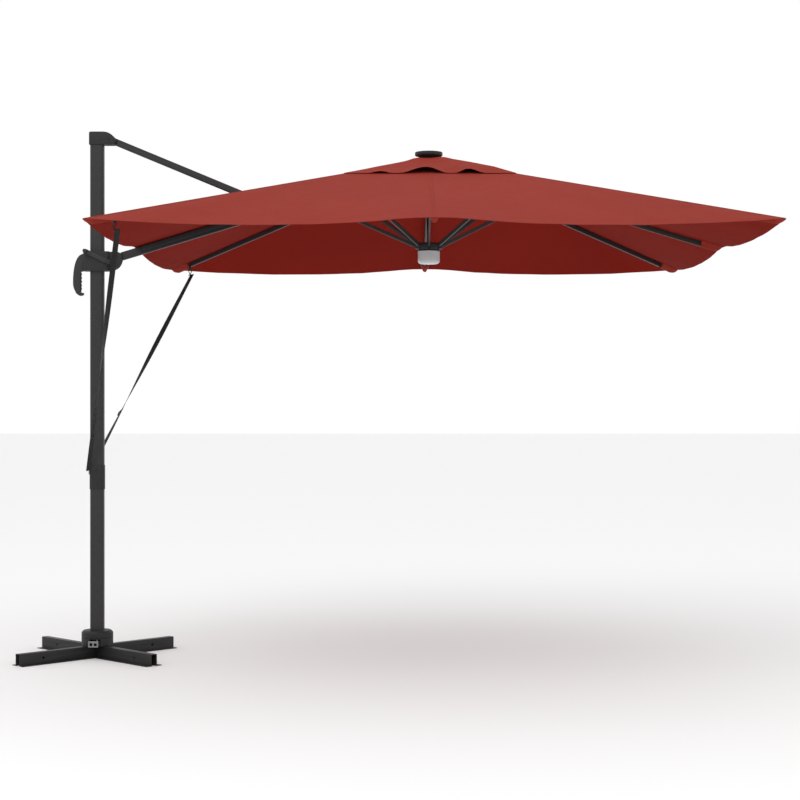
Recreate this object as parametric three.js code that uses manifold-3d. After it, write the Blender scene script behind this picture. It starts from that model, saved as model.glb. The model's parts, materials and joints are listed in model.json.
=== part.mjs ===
// Cantilever patio umbrella on a steel cross base: a 3 m square canopy hung beside a mast.
// Millimetres, +Z up. Origin: the mast's axis on the ground. +X points from the mast to the canopy.
import * as THREE from 'three';
import { mergeVertices } from 'three/addons/utils/BufferGeometryUtils.js';
import Module from 'manifold-3d';

const wasm = await Module();
wasm.setup();

// ---------------------------------------------------------------- driving dimensions
const GAP = 0.3; // between pieces that touch
const RUN = 0.5; // between pieces that move on each other
const CUT = 2; // how far a cutting solid passes the face it cuts

// canopy
const CANOPY_SIDE = 3000;
const CANOPY_OFFSET = 193; // mast axis to the nearest canopy edge
const TIP_Z = { mid: 2088, corner: 2084 }; // the cloth at the rib tips
const APEX_Z = 2540; // where the straight rib lines meet
const SHEET = 1.2; // fabric
const HEM_SAG = 30; // free edge below the straight line between two rib tips
const SHEET_GAP = 1.5; // ribs, boom and crown lie this far under the fabric
const VENT_SIDE = 840;
const VENT_EDGE_PROUD = 2.8; // vent cap's edge above the sheet
const VENT_APEX_PROUD = 13;
const SLIT = 3; // velcro seam over the boom

// ribs and stretchers
const RIB = { deep: 24, wide: 12 };
const PIVOT_R = 55; // rib hinges around the crown's axis
const PIVOT_Z = 2509;
const RIB_JOINT_R = { mid: 557, corner: 562, boom: 563 }; // stretcher hinges
const LUG = { drop: 10, boomDrop: 17, radius: 8, thick: 4, pin: 3 };
const STRETCHER = { deep: 18, wide: 9, cheek: 2.4 };
const TIP_SHORT = { mid: 25, corner: 40, boom: 25 }; // rib end inside the hem
const TIP_UNDER = { mid: 2.5, corner: 3, boom: 6.5 }; // rib end below the straight cloth line
const HOOK_R = 1960; // eye for the strap's hook on a corner rib

// crown, runner, light
const ROPE_R = 2.5;
const ROPE_IN_BOOM = 1480;
const CROWN = { radius: 68, bottom: 2489, core: 20 };
const FINIAL = { neck: 18, foot: 42, radius: 70.5, bottom: 2546, top: 2575, band: 17 };
const PANEL = { radius: 62, thick: 3 };
const RUNNER = { radius: 73, bottom: 2076, top: 2110, pivotR: 66.5, pivotZ: 2096 };
const LED = { radius: 56, top: 2075.5, bottom: 2004, round: 16 };

// mast
const MAST = { wide: 70, deep: 50, round: 14, wall: 2 };
const JOINT_Z = 916; // lower and upper mast meet inside the collar
const COLLAR = { bottom: 855, top: 978, proud: 2.8 };
const MAST_FACE = MAST.wide / 2;
const CAP = {
  left: MAST_FACE - 2, right: MAST_FACE + 57, bottom: 2606, top: 2677.5, deep: 60, band: 6, skin: 6,
};

// boom and strut
const BOOM = { deep: 41.8, wide: 26, wall: 2.4 };
const BOOM_SLOPE = 0.302;
const FOOT_X = MAST_FACE + 70; // boom hinge on the slider
const STRUT_TOP = { x: MAST_FACE + 27, z: 2640.6 };
const STRUT = { deep: 34, wide: 25, wall: 2, endGap: 76 };
const KNEE_X = 923; // strut hinge on the boom
const STRUT_SLOT = { towardsMast: 85, towardsCrown: 20, half: BOOM.wide / 2 + 8 };
const PIN_R = 6;
const WASHER = 1.6;
const RAIL = { inner: BOOM.wide / 2 + 8, outer: BOOM.wide / 2 + 16 }; // two rails, one each side of the boom
const CHEEK = 4;

// slider, grip and crank
const SLIDER = {
  bottom: 1968, top: 2067, left: MAST_FACE + 33, right: MAST_FACE + 29, half: MAST.deep / 2 + 17,
};
const GRIP_HALF = 15;
const SHOE = { deep: 10, half: 7 };
const LEVER_HALF = 11;
const LEVER_TRAVEL = 4;
const CRANK = { x: MAST_FACE + 27, z: 2012, arm: 127, turn: 154.5, thick: 8, wide: 23 };
const KNOB = { radius: 10, long: 28, post: 4 };
const SPOOL = { radius: 18, half: 13 };
const SHAFT_R = 6;

// base
const BAR = { reach: 475, top: 59, wide: 35, wall: 3, flange: 30, hole: 6, holeFromEnd: 140 };
const HUB = { radius: 80, seam: 99, top: 136, wall: 4, chamfer: 10 };
const SPINDLE_R = 18;
const SPINDLE_TOP = 230;
const PEDAL = { wide: 50, front: 128, pivotY: -62, pivotZ: 76 };

// straps
const STRAP = { wide: 25, thick: 2 };
const ANCHOR = { z: 950, x: MAST_FACE + 17, half: 20 };
const BUCKLE_FROM_ANCHOR = 475;
const STRAP_FOOT = { x: -MAST_FACE - 5, y: MAST.deep / 2 + 8 };

// ---------------------------------------------------------------- derived places
const HALF = CANOPY_SIDE / 2;
const CENTRE_X = CANOPY_OFFSET + HALF;
const MID_SLOPE = (APEX_Z - TIP_Z.mid) / HALF;
const BOOM_ANGLE = Math.atan(BOOM_SLOPE);
const CORNER_REACH = HALF * Math.SQRT2;
const PULLEY = { groove: 14, flange: 15.5, half: 4.5, axle: 2.6 };
const boomDrop = SHEET_GAP + BOOM.deep / 2 / Math.cos(BOOM_ANGLE);
const boomLineZ = (x) => APEX_Z - boomDrop - BOOM_SLOPE * (CENTRE_X - x);
const FOOT = { x: FOOT_X, z: boomLineZ(FOOT_X) };
const KNEE = { x: KNEE_X, z: boomLineZ(KNEE_X) };

// ---------------------------------------------------------------- materials
const paint = (color, roughness, metalness) =>
  new THREE.MeshStandardMaterial({ color, roughness, metalness });
const FRAME = paint(0x3d3e3f, 0.45, 0.5);
const STEEL = paint(0x35363a, 0.55, 0.6);
const PLASTIC = paint(0x2e2e2f, 0.6, 0);
const FABRIC = paint(0x9a423b, 0.9, 0);
const WEBBING = paint(0x1f1f20, 0.85, 0);
const BRIGHT = paint(0xb9bcc0, 0.3, 0.9);
const LENS = paint(0xc9cccc, 0.25, 0);
const CELL = paint(0x1c2430, 0.15, 0.2);

// ---------------------------------------------------------------- solids
function solid(geometry) {
  const bare = geometry.index ? geometry.toNonIndexed() : geometry.clone();
  bare.deleteAttribute('normal');
  bare.deleteAttribute('uv');
  const merged = mergeVertices(bare, 1e-4);
  const wanted = {
    numProp: 3,
    vertProperties: new Float32Array(merged.attributes.position.array),
    triVerts: new Uint32Array(merged.index.array),
  };
  return new wasm.Manifold(new wasm.Mesh(wanted));
}

function geometryOf(manifold) {
  const mesh = manifold.getMesh();
  const geometry = new THREE.BufferGeometry();
  geometry.setAttribute('position', new THREE.BufferAttribute(new Float32Array(mesh.vertProperties), 3));
  geometry.setIndex(new THREE.BufferAttribute(new Uint32Array(mesh.triVerts), 1));
  return geometry;
}

const union = (...parts) => parts.reduce((all, part) => all.add(part));
const cut = (body, ...tools) => tools.reduce((left, tool) => left.subtract(tool), body);

function box([x0, x1], [y0, y1], [z0, z1]) {
  const geometry = new THREE.BoxGeometry(x1 - x0, y1 - y0, z1 - z0);
  geometry.translate((x0 + x1) / 2, (y0 + y1) / 2, (z0 + z1) / 2);
  return solid(geometry);
}

// a round bar between two points
function rod(radius, from, to, sides = 12) {
  const a = new THREE.Vector3(...from);
  const b = new THREE.Vector3(...to);
  const geometry = new THREE.CylinderGeometry(radius, radius, a.distanceTo(b), sides);
  const way = b.clone().sub(a).normalize();
  const turn = new THREE.Quaternion().setFromUnitVectors(new THREE.Vector3(0, 1, 0), way);
  geometry.applyQuaternion(turn);
  geometry.translate(...a.add(b).multiplyScalar(0.5).toArray());
  return solid(geometry);
}

// a profile of [radius, height] points turned about Z
function turned(profile, sides = 24) {
  const points = profile.map(([r, z]) => new THREE.Vector2(r, z));
  const geometry = new THREE.LatheGeometry(points, sides);
  geometry.rotateX(Math.PI / 2);
  return solid(geometry);
}

// an outline in X and Z, given its thickness from y0 to y1
function plate(shape, y0, y1, curveSegments = 4) {
  const geometry = new THREE.ExtrudeGeometry(shape, { depth: y1 - y0, bevelEnabled: false, curveSegments });
  geometry.rotateX(Math.PI / 2);
  geometry.translate(0, y1, 0);
  return solid(geometry);
}

// an outline in X and Y, raised from z0 to z1
function raised(shape, z0, z1, curveSegments = 3) {
  const geometry = new THREE.ExtrudeGeometry(shape, { depth: z1 - z0, bevelEnabled: false, curveSegments });
  geometry.translate(0, 0, z0);
  return solid(geometry);
}

// a round bar through a chain of points
function chain(radius, points, sides = 6) {
  return union(...points.slice(1).map((to, i) => rod(radius, points[i], to, sides)));
}

function roundedRectangle(wide, deep, round, grow = 0) {
  const [w, d, r] = [wide / 2 + grow, deep / 2 + grow, Math.max(round + grow, 0.5)];
  const shape = new THREE.Shape();
  shape.moveTo(w, d - r);
  shape.absarc(w - r, d - r, r, 0, Math.PI / 2);
  shape.absarc(r - w, d - r, r, Math.PI / 2, Math.PI);
  shape.absarc(r - w, r - d, r, Math.PI, Math.PI * 1.5);
  shape.absarc(w - r, r - d, r, Math.PI * 1.5, Math.PI * 2);
  return shape;
}

// a bar with round ends from the origin along +X
function capsule(long, radius) {
  const shape = new THREE.Shape();
  shape.absarc(long, 0, radius, -Math.PI / 2, Math.PI / 2);
  shape.absarc(0, 0, radius, Math.PI / 2, Math.PI * 1.5);
  return shape;
}

// turns an X-Z solid down by an angle and moves its origin
function laid(body, angleDown, [x, y, z]) {
  const matrix = new THREE.Matrix4().makeRotationY(angleDown).setPosition(x, y, z);
  return body.transform(matrix.toArray());
}

const object = new THREE.Group();

function place(name, body, material, parent = object) {
  const mesh = new THREE.Mesh(body.isBufferGeometry ? body : geometryOf(body), material);
  mesh.name = name;
  parent.add(mesh);
  return mesh;
}

// ---------------------------------------------------------------- base
function hatBar() {
  const { reach, top, wide, wall, flange } = BAR;
  const w = wide / 2;
  const shape = new THREE.Shape([
    [-w - flange, 0], [-w + wall, 0], [-w + wall, top - wall], [w - wall, top - wall], [w - wall, 0],
    [w + flange, 0], [w + flange, wall], [w, wall], [w, top], [-w, top], [-w, wall], [-w - flange, wall],
  ].map(([x, z]) => new THREE.Vector2(x, z)));
  const bar = plate(shape, -reach, reach);
  const at = reach - BAR.holeFromEnd;
  const hole = (y) => rod(BAR.hole, [-w - CUT, y, top / 2], [w + CUT, y, top / 2], 16);
  return cut(bar, hole(-at), hole(at));
}

function addBase() {
  const { top, wide, flange, wall } = BAR;
  const overBar = wide / 2 + GAP;
  const half = top / 2;
  const lower = cut(hatBar(), box([-wide, wide], [-overBar, overBar], [half - GAP / 2, top + CUT]));
  const overFlange = overBar + flange;
  const upper = cut(
    hatBar(),
    box([-wide * 2, wide * 2], [-overFlange, overFlange], [-CUT, wall + GAP]),
    box([-wide, wide], [-overBar, overBar], [-CUT, half + GAP / 2]),
  );
  place('base_bar_lower', lower, STEEL).rotation.z = Math.PI / 4;
  place('base_bar_upper', upper, STEEL).rotation.z = -Math.PI / 4;
  const inside = wide / 2 - wall - GAP;
  place('clamp_plate', box([-inside, inside], [-45, 45], [0, 4]), STEEL).rotation.z = Math.PI / 4;

  const plateTop = top + GAP + 5;
  place('swivel_flange', turned([[0, top + GAP], [70, top + GAP], [70, plateTop], [0, plateTop]]), STEEL);
  const seat = plateTop + GAP;
  const spindle = [[0, seat], [SPINDLE_R, seat], [SPINDLE_R, SPINDLE_TOP], [0, SPINDLE_TOP]];
  place('turn_spindle', turned(spindle, 32), BRIGHT);

  const { radius, seam, wall: shell } = HUB;
  const rim = radius - shell;
  const cover = turned([
    [rim, top + GAP], [radius, top + GAP], [radius, seam], [60, seam],
    [60, seam - shell], [rim, seam - shell], [rim, top + GAP],
  ], 32);
  const window = box([-PEDAL.wide / 2 - 2, PEDAL.wide / 2 + 2], [-radius - CUT, -60.5], [top, seam - shell]);
  place('hub_cover', cut(cover, window), PLASTIC);
  place('turn_lock_bolt', rod(5, [0, 45, plateTop + 8], [0, 45, seam - 5]), BRIGHT);
  place('foot_pedal', pedal(), BRIGHT);
}

// a U-shaped tread on two arms, hinged inside the hub
function pedal() {
  const { wide, front, pivotY, pivotZ } = PEDAL;
  const w = wide / 2;
  const thick = 3;
  const side = (s) => (s > 0 ? [w - thick, w] : [-w, thick - w]);
  const arm = (s) => box(side(s), [-front, pivotY], [66, 91]);
  const [low, high] = [63, 94];
  const blank = box([-w, w], [-front, thick - front], [low, high]);
  const windowOf = (x0, x1) => box([x0, x1], [-front - CUT, thick - front + CUT], [low + 7, high - 8]);
  const tread = cut(blank, windowOf(-w + 7, -4), windowOf(4, w - 7));
  const step = box([-w, w], [-front, -front + 34], [88, 91]);
  return union(arm(-1), arm(1), tread, step, rod(3, [-w, pivotY - 3, pivotZ], [w, pivotY - 3, pivotZ], 12));
}

// ---------------------------------------------------------------- mast
const mastOutline = (grow) => roundedRectangle(MAST.wide, MAST.deep, MAST.round, grow);
const mastSolid = (grow, z0, z1) => raised(mastOutline(grow), z0, z1);

function addMast() {
  const { radius, seam, top, wall, chamfer } = HUB;
  const rim = radius - wall;
  const bell = turned([
    [rim, seam + 1], [radius, seam + 1], [radius, top - chamfer], [radius - chamfer, top], [0, top],
    [0, top - wall], [rim - chamfer, top - wall], [rim, top - chamfer - 1.5], [rim, seam + 1],
  ], 32);
  place('turn_bell', cut(bell, mastSolid(GAP, seam, top + CUT)), PLASTIC);

  const foot = seam + 8;
  const tube = (z0, z1) => cut(mastSolid(0, z0, z1), mastSolid(-MAST.wall, z0 - CUT, z1 + CUT));
  place('mast_lower', tube(foot, JOINT_Z - GAP / 2), FRAME);
  place('mast_upper', tube(JOINT_Z + GAP / 2, CAP.bottom + CAP.band), FRAME);
  const insert = -MAST.wall - GAP;
  const bore = rod(SPINDLE_R + GAP, [0, 0, foot - CUT], [0, 0, SPINDLE_TOP], 32);
  const bearing = cut(mastSolid(insert, foot, SPINDLE_TOP - 10), bore);
  place('turn_bearing', bearing, PLASTIC);
  const collarRoom = mastSolid(GAP, COLLAR.bottom - CUT, COLLAR.top + CUT);
  const collar = cut(mastSolid(COLLAR.proud, COLLAR.bottom, COLLAR.top), collarRoom);
  place('mast_collar', collar, PLASTIC);

  const face = MAST.wide / 2 + COLLAR.proud + GAP;
  const { z, x, half } = ANCHOR;
  const leg = (y) => rod(3, [-face, y, z], [-x, y, z], 12);
  const back = box([-face - 4, -face], [-half - 4, half + 4], [z - 20, z + 20]);
  const bar = rod(3, [-x, -half - 3, z], [-x, half + 3, z], 12);
  const anchor = union(back, leg(-half), leg(half), leg(0), bar);
  place('strap_anchor', anchor, BRIGHT);
  addCap();
}

function addCap() {
  const { left, right, bottom, top, deep, band, skin } = CAP;
  const y = deep / 2;
  const outline = new THREE.Shape();
  outline.moveTo(-left - 5, bottom + band);
  outline.lineTo(-left - 5, top - 8);
  outline.quadraticCurveTo(-left - 5, top, 5 - left, top);
  outline.lineTo(MAST_FACE, top);
  outline.quadraticCurveTo(MAST_FACE + 31, top, right, top - 30);
  outline.lineTo(right + 8, top - 45);
  outline.lineTo(right, bottom + band);
  const shell = plate(outline, -y, y);
  const strutRoom = STRUT.wide / 2 + RUN;
  const mouthFrom = STRUT_TOP.x - STRUT.deep / 2 - 2;
  const mouth = box([mouthFrom, right + 20], [-strutRoom, strutRoom], [bottom - CUT, top - skin]);
  const cheekOutline = new THREE.Shape();
  cheekOutline.absarc(STRUT_TOP.x, STRUT_TOP.z, 14, 0, Math.PI * 2);
  const cheeks = cut(plate(cheekOutline, -y + 8, y - 8), mouth);
  const pinHole = rod(PIN_R + GAP, [STRUT_TOP.x, -y, STRUT_TOP.z], [STRUT_TOP.x, y, STRUT_TOP.z]);
  const seat = mastSolid(GAP, bottom - CUT, bottom + band + GAP);
  const lining = mastSolid(-MAST.wall - GAP, bottom - 40, bottom + band + 1);
  const cap = cut(union(cut(shell, seat, mouth), cheeks, lining), pinHole);
  place('top_cap', cap, PLASTIC);
  const pin = rod(PIN_R, [STRUT_TOP.x, 8 - y, STRUT_TOP.z], [STRUT_TOP.x, y - 8, STRUT_TOP.z]);
  place('strut_pin', pin, BRIGHT);
}

// ---------------------------------------------------------------- slider
function addSlider() {
  const { bottom, top, left, right, half } = SLIDER;
  const sleeve = raised(roundedRectangle(left + right, half * 2, 16), bottom, top);
  const block = sleeve.translate([(right - left) / 2, 0, 0]);
  const cheekIn = BOOM.wide / 2 + RUN;
  const cheekOut = cheekIn + 8;
  const cheek = new THREE.Shape();
  cheek.moveTo(MAST_FACE + 4, bottom + 1);
  cheek.lineTo(right + 6, bottom + 1);
  cheek.quadraticCurveTo(FOOT.x + 16, bottom + 8, FOOT.x + 24, FOOT.z - 4);
  cheek.quadraticCurveTo(FOOT.x + 24, top - 2, FOOT.x - 6, top - 1);
  cheek.lineTo(MAST_FACE + 4, top - 1);
  const bracket = plate(cheek, -cheekOut, cheekOut, 8);
  const footRoom = cheekIn;
  const shoeZ = (bottom + top) / 2;
  const body = cut(
    union(block, bracket),
    mastSolid(RUN, bottom - CUT, top + CUT),
    box([MAST_FACE + 6, right + 120], [-footRoom, footRoom], [bottom + 14, top + 40]),
    rod(PIN_R + GAP, [FOOT.x, -50, FOOT.z], [FOOT.x, 50, FOOT.z]),
    rod(SHAFT_R + GAP, [CRANK.x, -60, CRANK.z], [CRANK.x, 20, CRANK.z]),
    box(
      [-MAST_FACE - SHOE.deep - 5, -MAST_FACE],
      [-SHOE.half - GAP, SHOE.half + GAP],
      [shoeZ - SHOE.half * 2, shoeZ + SHOE.half * 2],
    ),
  );
  place('slider_body', body, PLASTIC);
  const shoe = box(
    [-MAST_FACE - SHOE.deep, -MAST_FACE - GAP],
    [-SHOE.half, SHOE.half],
    [shoeZ - SHOE.half * 2 + RUN, shoeZ + SHOE.half * 2 - RUN],
  );
  place('brake_shoe', shoe, STEEL);
  const pin = rod(PIN_R, [FOOT.x, -cheekOut, FOOT.z], [FOOT.x, cheekOut, FOOT.z]);
  place('boom_pin', pin, BRIGHT);
  addGrip();
  addCrank();
}

// drawn as distances out from the slider's face and down from its top
function addGrip() {
  const face = -SLIDER.left - GAP;
  const at = ([out, down]) => new THREE.Vector2(face - out, SLIDER.top - down);
  const line = (shape, ...places) => places.map(at).forEach(({ x, y }) => shape.lineTo(x, y));
  const outline = new THREE.Shape([at([0, 9])]);
  outline.splineThru([[23, 21], [40, 50], [50, 92], [54, 140], [52, 180], [38, 213]].map(at));
  outline.splineThru([[20, 225], [2, 221]].map(at));
  line(outline, [0, 211], [14, 209], [15.5, 201], [15.5, 101], [0, 100]);
  const slotEdge = 28 + LEVER_TRAVEL + RUN;
  const [slotTop, slotBottom] = [SLIDER.top - 103, SLIDER.top - 199];
  const slot = box([face - slotEdge, face], [-LEVER_HALF - RUN, LEVER_HALF + RUN], [slotBottom, slotTop]);
  place('grip_handle', cut(plate(outline, -GRIP_HALF, GRIP_HALF, 4), slot), PLASTIC);

  const lever = new THREE.Shape([at([28, 104])]);
  const ridges = [114, 133, 152, 171, 188];
  line(lever, [15, 104]);
  for (const [i, down] of ridges.entries()) {
    line(lever, [11, down]);
    if (i + 1 < ridges.length) line(lever, [15, (down + ridges[i + 1]) / 2]);
  }
  line(lever, [15, 198], [28, 198]);
  place('brake_lever', plate(lever, -LEVER_HALF, LEVER_HALF), PLASTIC);
}

function addCrank() {
  const { x, z, arm, turn, thick, wide } = CRANK;
  const front = -SLIDER.half - 4;
  const angle = THREE.MathUtils.degToRad(turn);
  const end = [x + arm * Math.cos(angle), z + arm * Math.sin(angle)];
  const lever = laid(plate(capsule(arm, wide / 2), front - thick, front), -angle, [x, 0, z]);
  const shaft = rod(SHAFT_R, [x, front - 1, z], [x, SPOOL.half + 1, z], 24);
  const [endX, endZ] = end;
  const postEnd = front - thick - KNOB.long + 4;
  const post = rod(KNOB.post, [endX, front - thick + 1, endZ], [endX, postEnd, endZ], 16);
  place('crank_arm', union(lever, shaft, post), PLASTIC);
  const knobFrom = front - thick - RUN;
  const knob = cut(
    rod(KNOB.radius, [end[0], knobFrom, end[1]], [end[0], knobFrom - KNOB.long, end[1]], 24),
    rod(KNOB.post + GAP, [end[0], knobFrom + CUT, end[1]], [end[0], knobFrom - KNOB.long + 3, end[1]], 16),
  );
  place('crank_knob', knob, PLASTIC);
  const spool = cut(
    rod(SPOOL.radius, [x, -SPOOL.half, z], [x, SPOOL.half, z], 32),
    rod(SHAFT_R + GAP, [x, -SPOOL.half - CUT, z], [x, SPOOL.half + CUT, z], 24),
  );
  place('rope_drum', spool, STEEL);
}

// ---------------------------------------------------------------- boom and strut
const boomFrame = (x) => [x, 0, boomLineZ(x)];
const BOOM_END = CENTRE_X - 36;

function addBoom() {
  const { deep, wide, wall } = BOOM;
  const start = 22;
  const long = (BOOM_END - FOOT.x) / Math.cos(BOOM_ANGLE);
  const outer = raised(roundedRectangle(wide, deep, 5), start, long);
  const inner = raised(roundedRectangle(wide, deep, 5, -wall), start - CUT, long + CUT);
  const upright = cut(outer, inner).rotate([90, 0, 90]);
  const pinHole = rod(PIN_R + GAP, [0, -30, 0], [0, 30, 0]);
  const tube = cut(laid(upright, -BOOM_ANGLE, boomFrame(FOOT.x)), pinHole.translate([KNEE.x, 0, KNEE.z]));
  place('boom_tube', tube, FRAME);

  const eye = plate(capsule(10, deep / 2 - 1), -wide / 2, wide / 2);
  const tenonTop = 3;
  const tenonHalf = wide / 2 - wall - 1;
  const tenon = box([0, start + 60], [-tenonHalf, tenonHalf], [wall + 1 - deep / 2, tenonTop]);
  const trim = box([start - GAP, start + 200], [-wide, wide], [-deep, deep]);
  const foot = cut(union(cut(eye, trim), tenon), rod(PIN_R + GAP, [0, -30, 0], [0, 30, 0]));
  place('boom_foot', laid(foot, -BOOM_ANGLE, boomFrame(FOOT.x)), STEEL);

  const pinHalf = wide / 2 + CHEEK + RUN * 2;
  const kneeAt = (y) => [KNEE.x, y, KNEE.z];
  const washer = (s) => rod(14, kneeAt(s * pinHalf), kneeAt(s * (pinHalf + WASHER)), 24);
  const knee = union(rod(PIN_R, kneeAt(-pinHalf - 1), kneeAt(pinHalf + 1)), washer(-1), washer(1));
  place('knee_pin', knee, BRIGHT);
  addStrut();
}

// a tube with a fork that reaches over both sides of the boom
function addStrut() {
  const run = [KNEE.x - STRUT_TOP.x, KNEE.z - STRUT_TOP.z];
  const long = Math.hypot(...run);
  const down = -Math.atan2(run[1], run[0]);
  const { deep, wide, wall, endGap } = STRUT;
  const outer = raised(roundedRectangle(wide, deep, 5), 0, long - endGap);
  const inner = raised(roundedRectangle(wide, deep, 5, -wall), 40, long - endGap + CUT);
  const tube = cut(outer, inner).rotate([90, 0, 90]);
  const eye = plate(capsule(1, deep / 2), -wide / 2, wide / 2);
  const forkIn = BOOM.wide / 2 + RUN;
  const forkLong = endGap + 60;
  const fork = (side) => {
    const [y0, y1] = side > 0 ? [forkIn, forkIn + CHEEK] : [-forkIn - CHEEK, -forkIn];
    return plate(capsule(forkLong, 14), y0, y1).translate([long - forkLong, 0, 0]);
  };
  const block = box([long - endGap - 45, long - endGap], [-forkIn - 1, forkIn + 1], [-12, 12]);
  const slack = rod(PIN_R + 5.5, [long, -30, 0], [long, 30, 0], 24);
  const pinHole = rod(PIN_R + GAP, [0, -30, 0], [0, 30, 0]);
  const strut = cut(union(tube, eye, block, fork(-1), fork(1)), slack, pinHole);
  place('strut', laid(strut, down, [STRUT_TOP.x, 0, STRUT_TOP.z]), FRAME);
}

// ---------------------------------------------------------------- crown
const crown = new THREE.Group();
crown.position.x = CENTRE_X;
object.add(crown);

const turnedTo = (body, azimuth) => body.rotate([0, 0, THREE.MathUtils.radToDeg(azimuth)]);
const BOOM_SIDE = 4; // the rib towards the mast, of eight counted from +X
const azimuthOf = (i) => (i * Math.PI) / 4;

function addCrown() {
  const { radius, bottom, core } = CROWN;
  const topAt = (r) => APEX_Z - SHEET_GAP - 4 - MID_SLOPE * r;
  const roof = [[radius, topAt(radius)], [core, topAt(core)], [0, topAt(core)]];
  let hub = turned([[0, bottom], [radius, bottom], ...roof], 32);
  const slotHalf = RIB.wide / 2 + RUN;
  for (let i = 0; i < 8; i += 1) {
    if (i === BOOM_SIDE) continue;
    const slot = box([38, radius + CUT], [-slotHalf, slotHalf], [bottom - CUT, APEX_Z]);
    hub = hub.subtract(turnedTo(slot, azimuthOf(i)));
    const pocket = rod(3.8, [PIVOT_R, -9, PIVOT_Z], [PIVOT_R, 9, PIVOT_Z], 12);
    hub = hub.subtract(turnedTo(pocket, azimuthOf(i)));
  }
  const boomRoom = BOOM.wide / 2 + GAP;
  hub = cut(hub, box([-radius - CUT, 14], [-boomRoom, boomRoom], [bottom - CUT, APEX_Z]));
  for (const side of [-1, 1]) {
    const [y0, y1] = [RAIL.inner - RUN, RAIL.outer + 18];
    const across = side > 0 ? [y0, y1] : [-y1, -y0];
    hub = hub.subtract(box([-radius - CUT, -38], across, [bottom - CUT, APEX_Z]));
  }
  place('crown_hub', hub, PLASTIC, crown);

  const pulleyX = -(PULLEY.groove + ROPE_R);
  const pulleyZ = boomLineZ(CENTRE_X + pulleyX) - 6.5;
  const { groove, flange, half, axle } = PULLEY;
  const axleHalf = boomRoom - GAP;
  const wheel = turned([
    [0, -axleHalf], [axle, -axleHalf], [axle, -half], [flange, -half], [flange, -half + 1],
    [groove - 0.5, -ROPE_R], [groove - 0.5, ROPE_R],
    [flange, half - 1], [flange, half], [axle, half], [axle, axleHalf], [0, axleHalf],
  ], 32);
  place('rope_pulley', wheel.rotate([90, 0, 0]).translate([pulleyX, 0, pulleyZ]), STEEL, crown);
  addRope(pulleyX, pulleyZ);

  const { neck, foot, radius: rim, bottom: low, top, band } = FINIAL;
  const stem = topAt(core) + GAP;
  const panelSeat = top - PANEL.thick;
  const finial = turned([
    [0, stem], [neck, stem], [neck, low + 4], [foot - 4, low + 1], [foot, low], [foot + 1, low + 2],
    [rim - 2, top - band - 1], [rim, top - band], [rim, top - 1.5], [rim - 2, top],
    [PANEL.radius + GAP, top], [PANEL.radius + GAP, panelSeat], [0, panelSeat],
  ]);
  place('finial', finial, PLASTIC, crown);
  const under = panelSeat + GAP;
  const panel = turned([[0, under], [PANEL.radius, under], [PANEL.radius, top + 0.5], [0, top + 1]]);
  place('solar_panel', panel, CELL, crown);
}

// the rope runs inside the boom, over the pulley and down to the runner
function addRope(pulleyX, pulleyZ) {
  const turnR = PULLEY.groove + ROPE_R;
  const up = [-Math.sin(BOOM_ANGLE), Math.cos(BOOM_ANGLE)];
  const along = [Math.cos(BOOM_ANGLE), Math.sin(BOOM_ANGLE)];
  const leave = [pulleyX + up[0] * turnR, pulleyZ + up[1] * turnR];
  const far = [leave[0] - along[0] * ROPE_IN_BOOM, 0, leave[1] - along[1] * ROPE_IN_BOOM];
  const bend = [];
  const first = Math.PI / 2 + BOOM_ANGLE;
  for (let i = 0; i <= 5; i += 1) {
    const a = first * (1 - i / 5);
    bend.push([pulleyX + Math.cos(a) * turnR, 0, pulleyZ + Math.sin(a) * turnR]);
  }
  place('lift_rope', chain(ROPE_R, [far, ...bend, [0, 0, RUNNER.top + 0.5]]), WEBBING, crown);
}

// ---------------------------------------------------------------- ribs, stretchers, runner
// each is drawn along +X from the crown's axis, and its group turns it to its place
function ribLine(kind) {
  const reach = kind === 'corner' ? CORNER_REACH : HALF;
  const tip = reach - TIP_SHORT[kind];
  const tipCloth = kind === 'corner' ? TIP_Z.corner : TIP_Z.mid;
  const sheetUnder = APEX_Z - ((APEX_Z - tipCloth) * tip) / reach;
  const tipZ = sheetUnder - TIP_UNDER[kind] - RIB.deep / 2;
  const angle = Math.atan2(PIVOT_Z - tipZ, tip - PIVOT_R);
  const long = Math.hypot(tip - PIVOT_R, PIVOT_Z - tipZ);
  return { angle, long, jointAt: (RIB_JOINT_R[kind] - PIVOT_R) / Math.cos(angle) };
}

const jointDrop = (kind) =>
  kind === 'boom' ? BOOM.deep - RIB.deep / 2 + LUG.boomDrop : RIB.deep / 2 + LUG.drop;

// the stretcher's hinge in the rib's upright plane, as [radius, height]
function ribJoint(kind) {
  const { angle, jointAt } = ribLine(kind);
  const drop = jointDrop(kind);
  const r = PIVOT_R + jointAt * Math.cos(angle) - drop * Math.sin(angle);
  return [r, PIVOT_Z - jointAt * Math.sin(angle) - drop * Math.cos(angle)];
}

function lug(at, drop, bottomOfBar) {
  const half = LUG.thick / 2;
  const eye = rod(LUG.radius, [at, -half, -drop], [at, half, -drop]);
  const web = box([at - LUG.radius, at + LUG.radius], [-half, half], [-drop, -bottomOfBar + 1]);
  const pin = rod(LUG.pin, [at, -STRETCHER.wide / 2 - 1, -drop], [at, STRETCHER.wide / 2 + 1, -drop], 8);
  return union(eye, web, pin);
}

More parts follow.
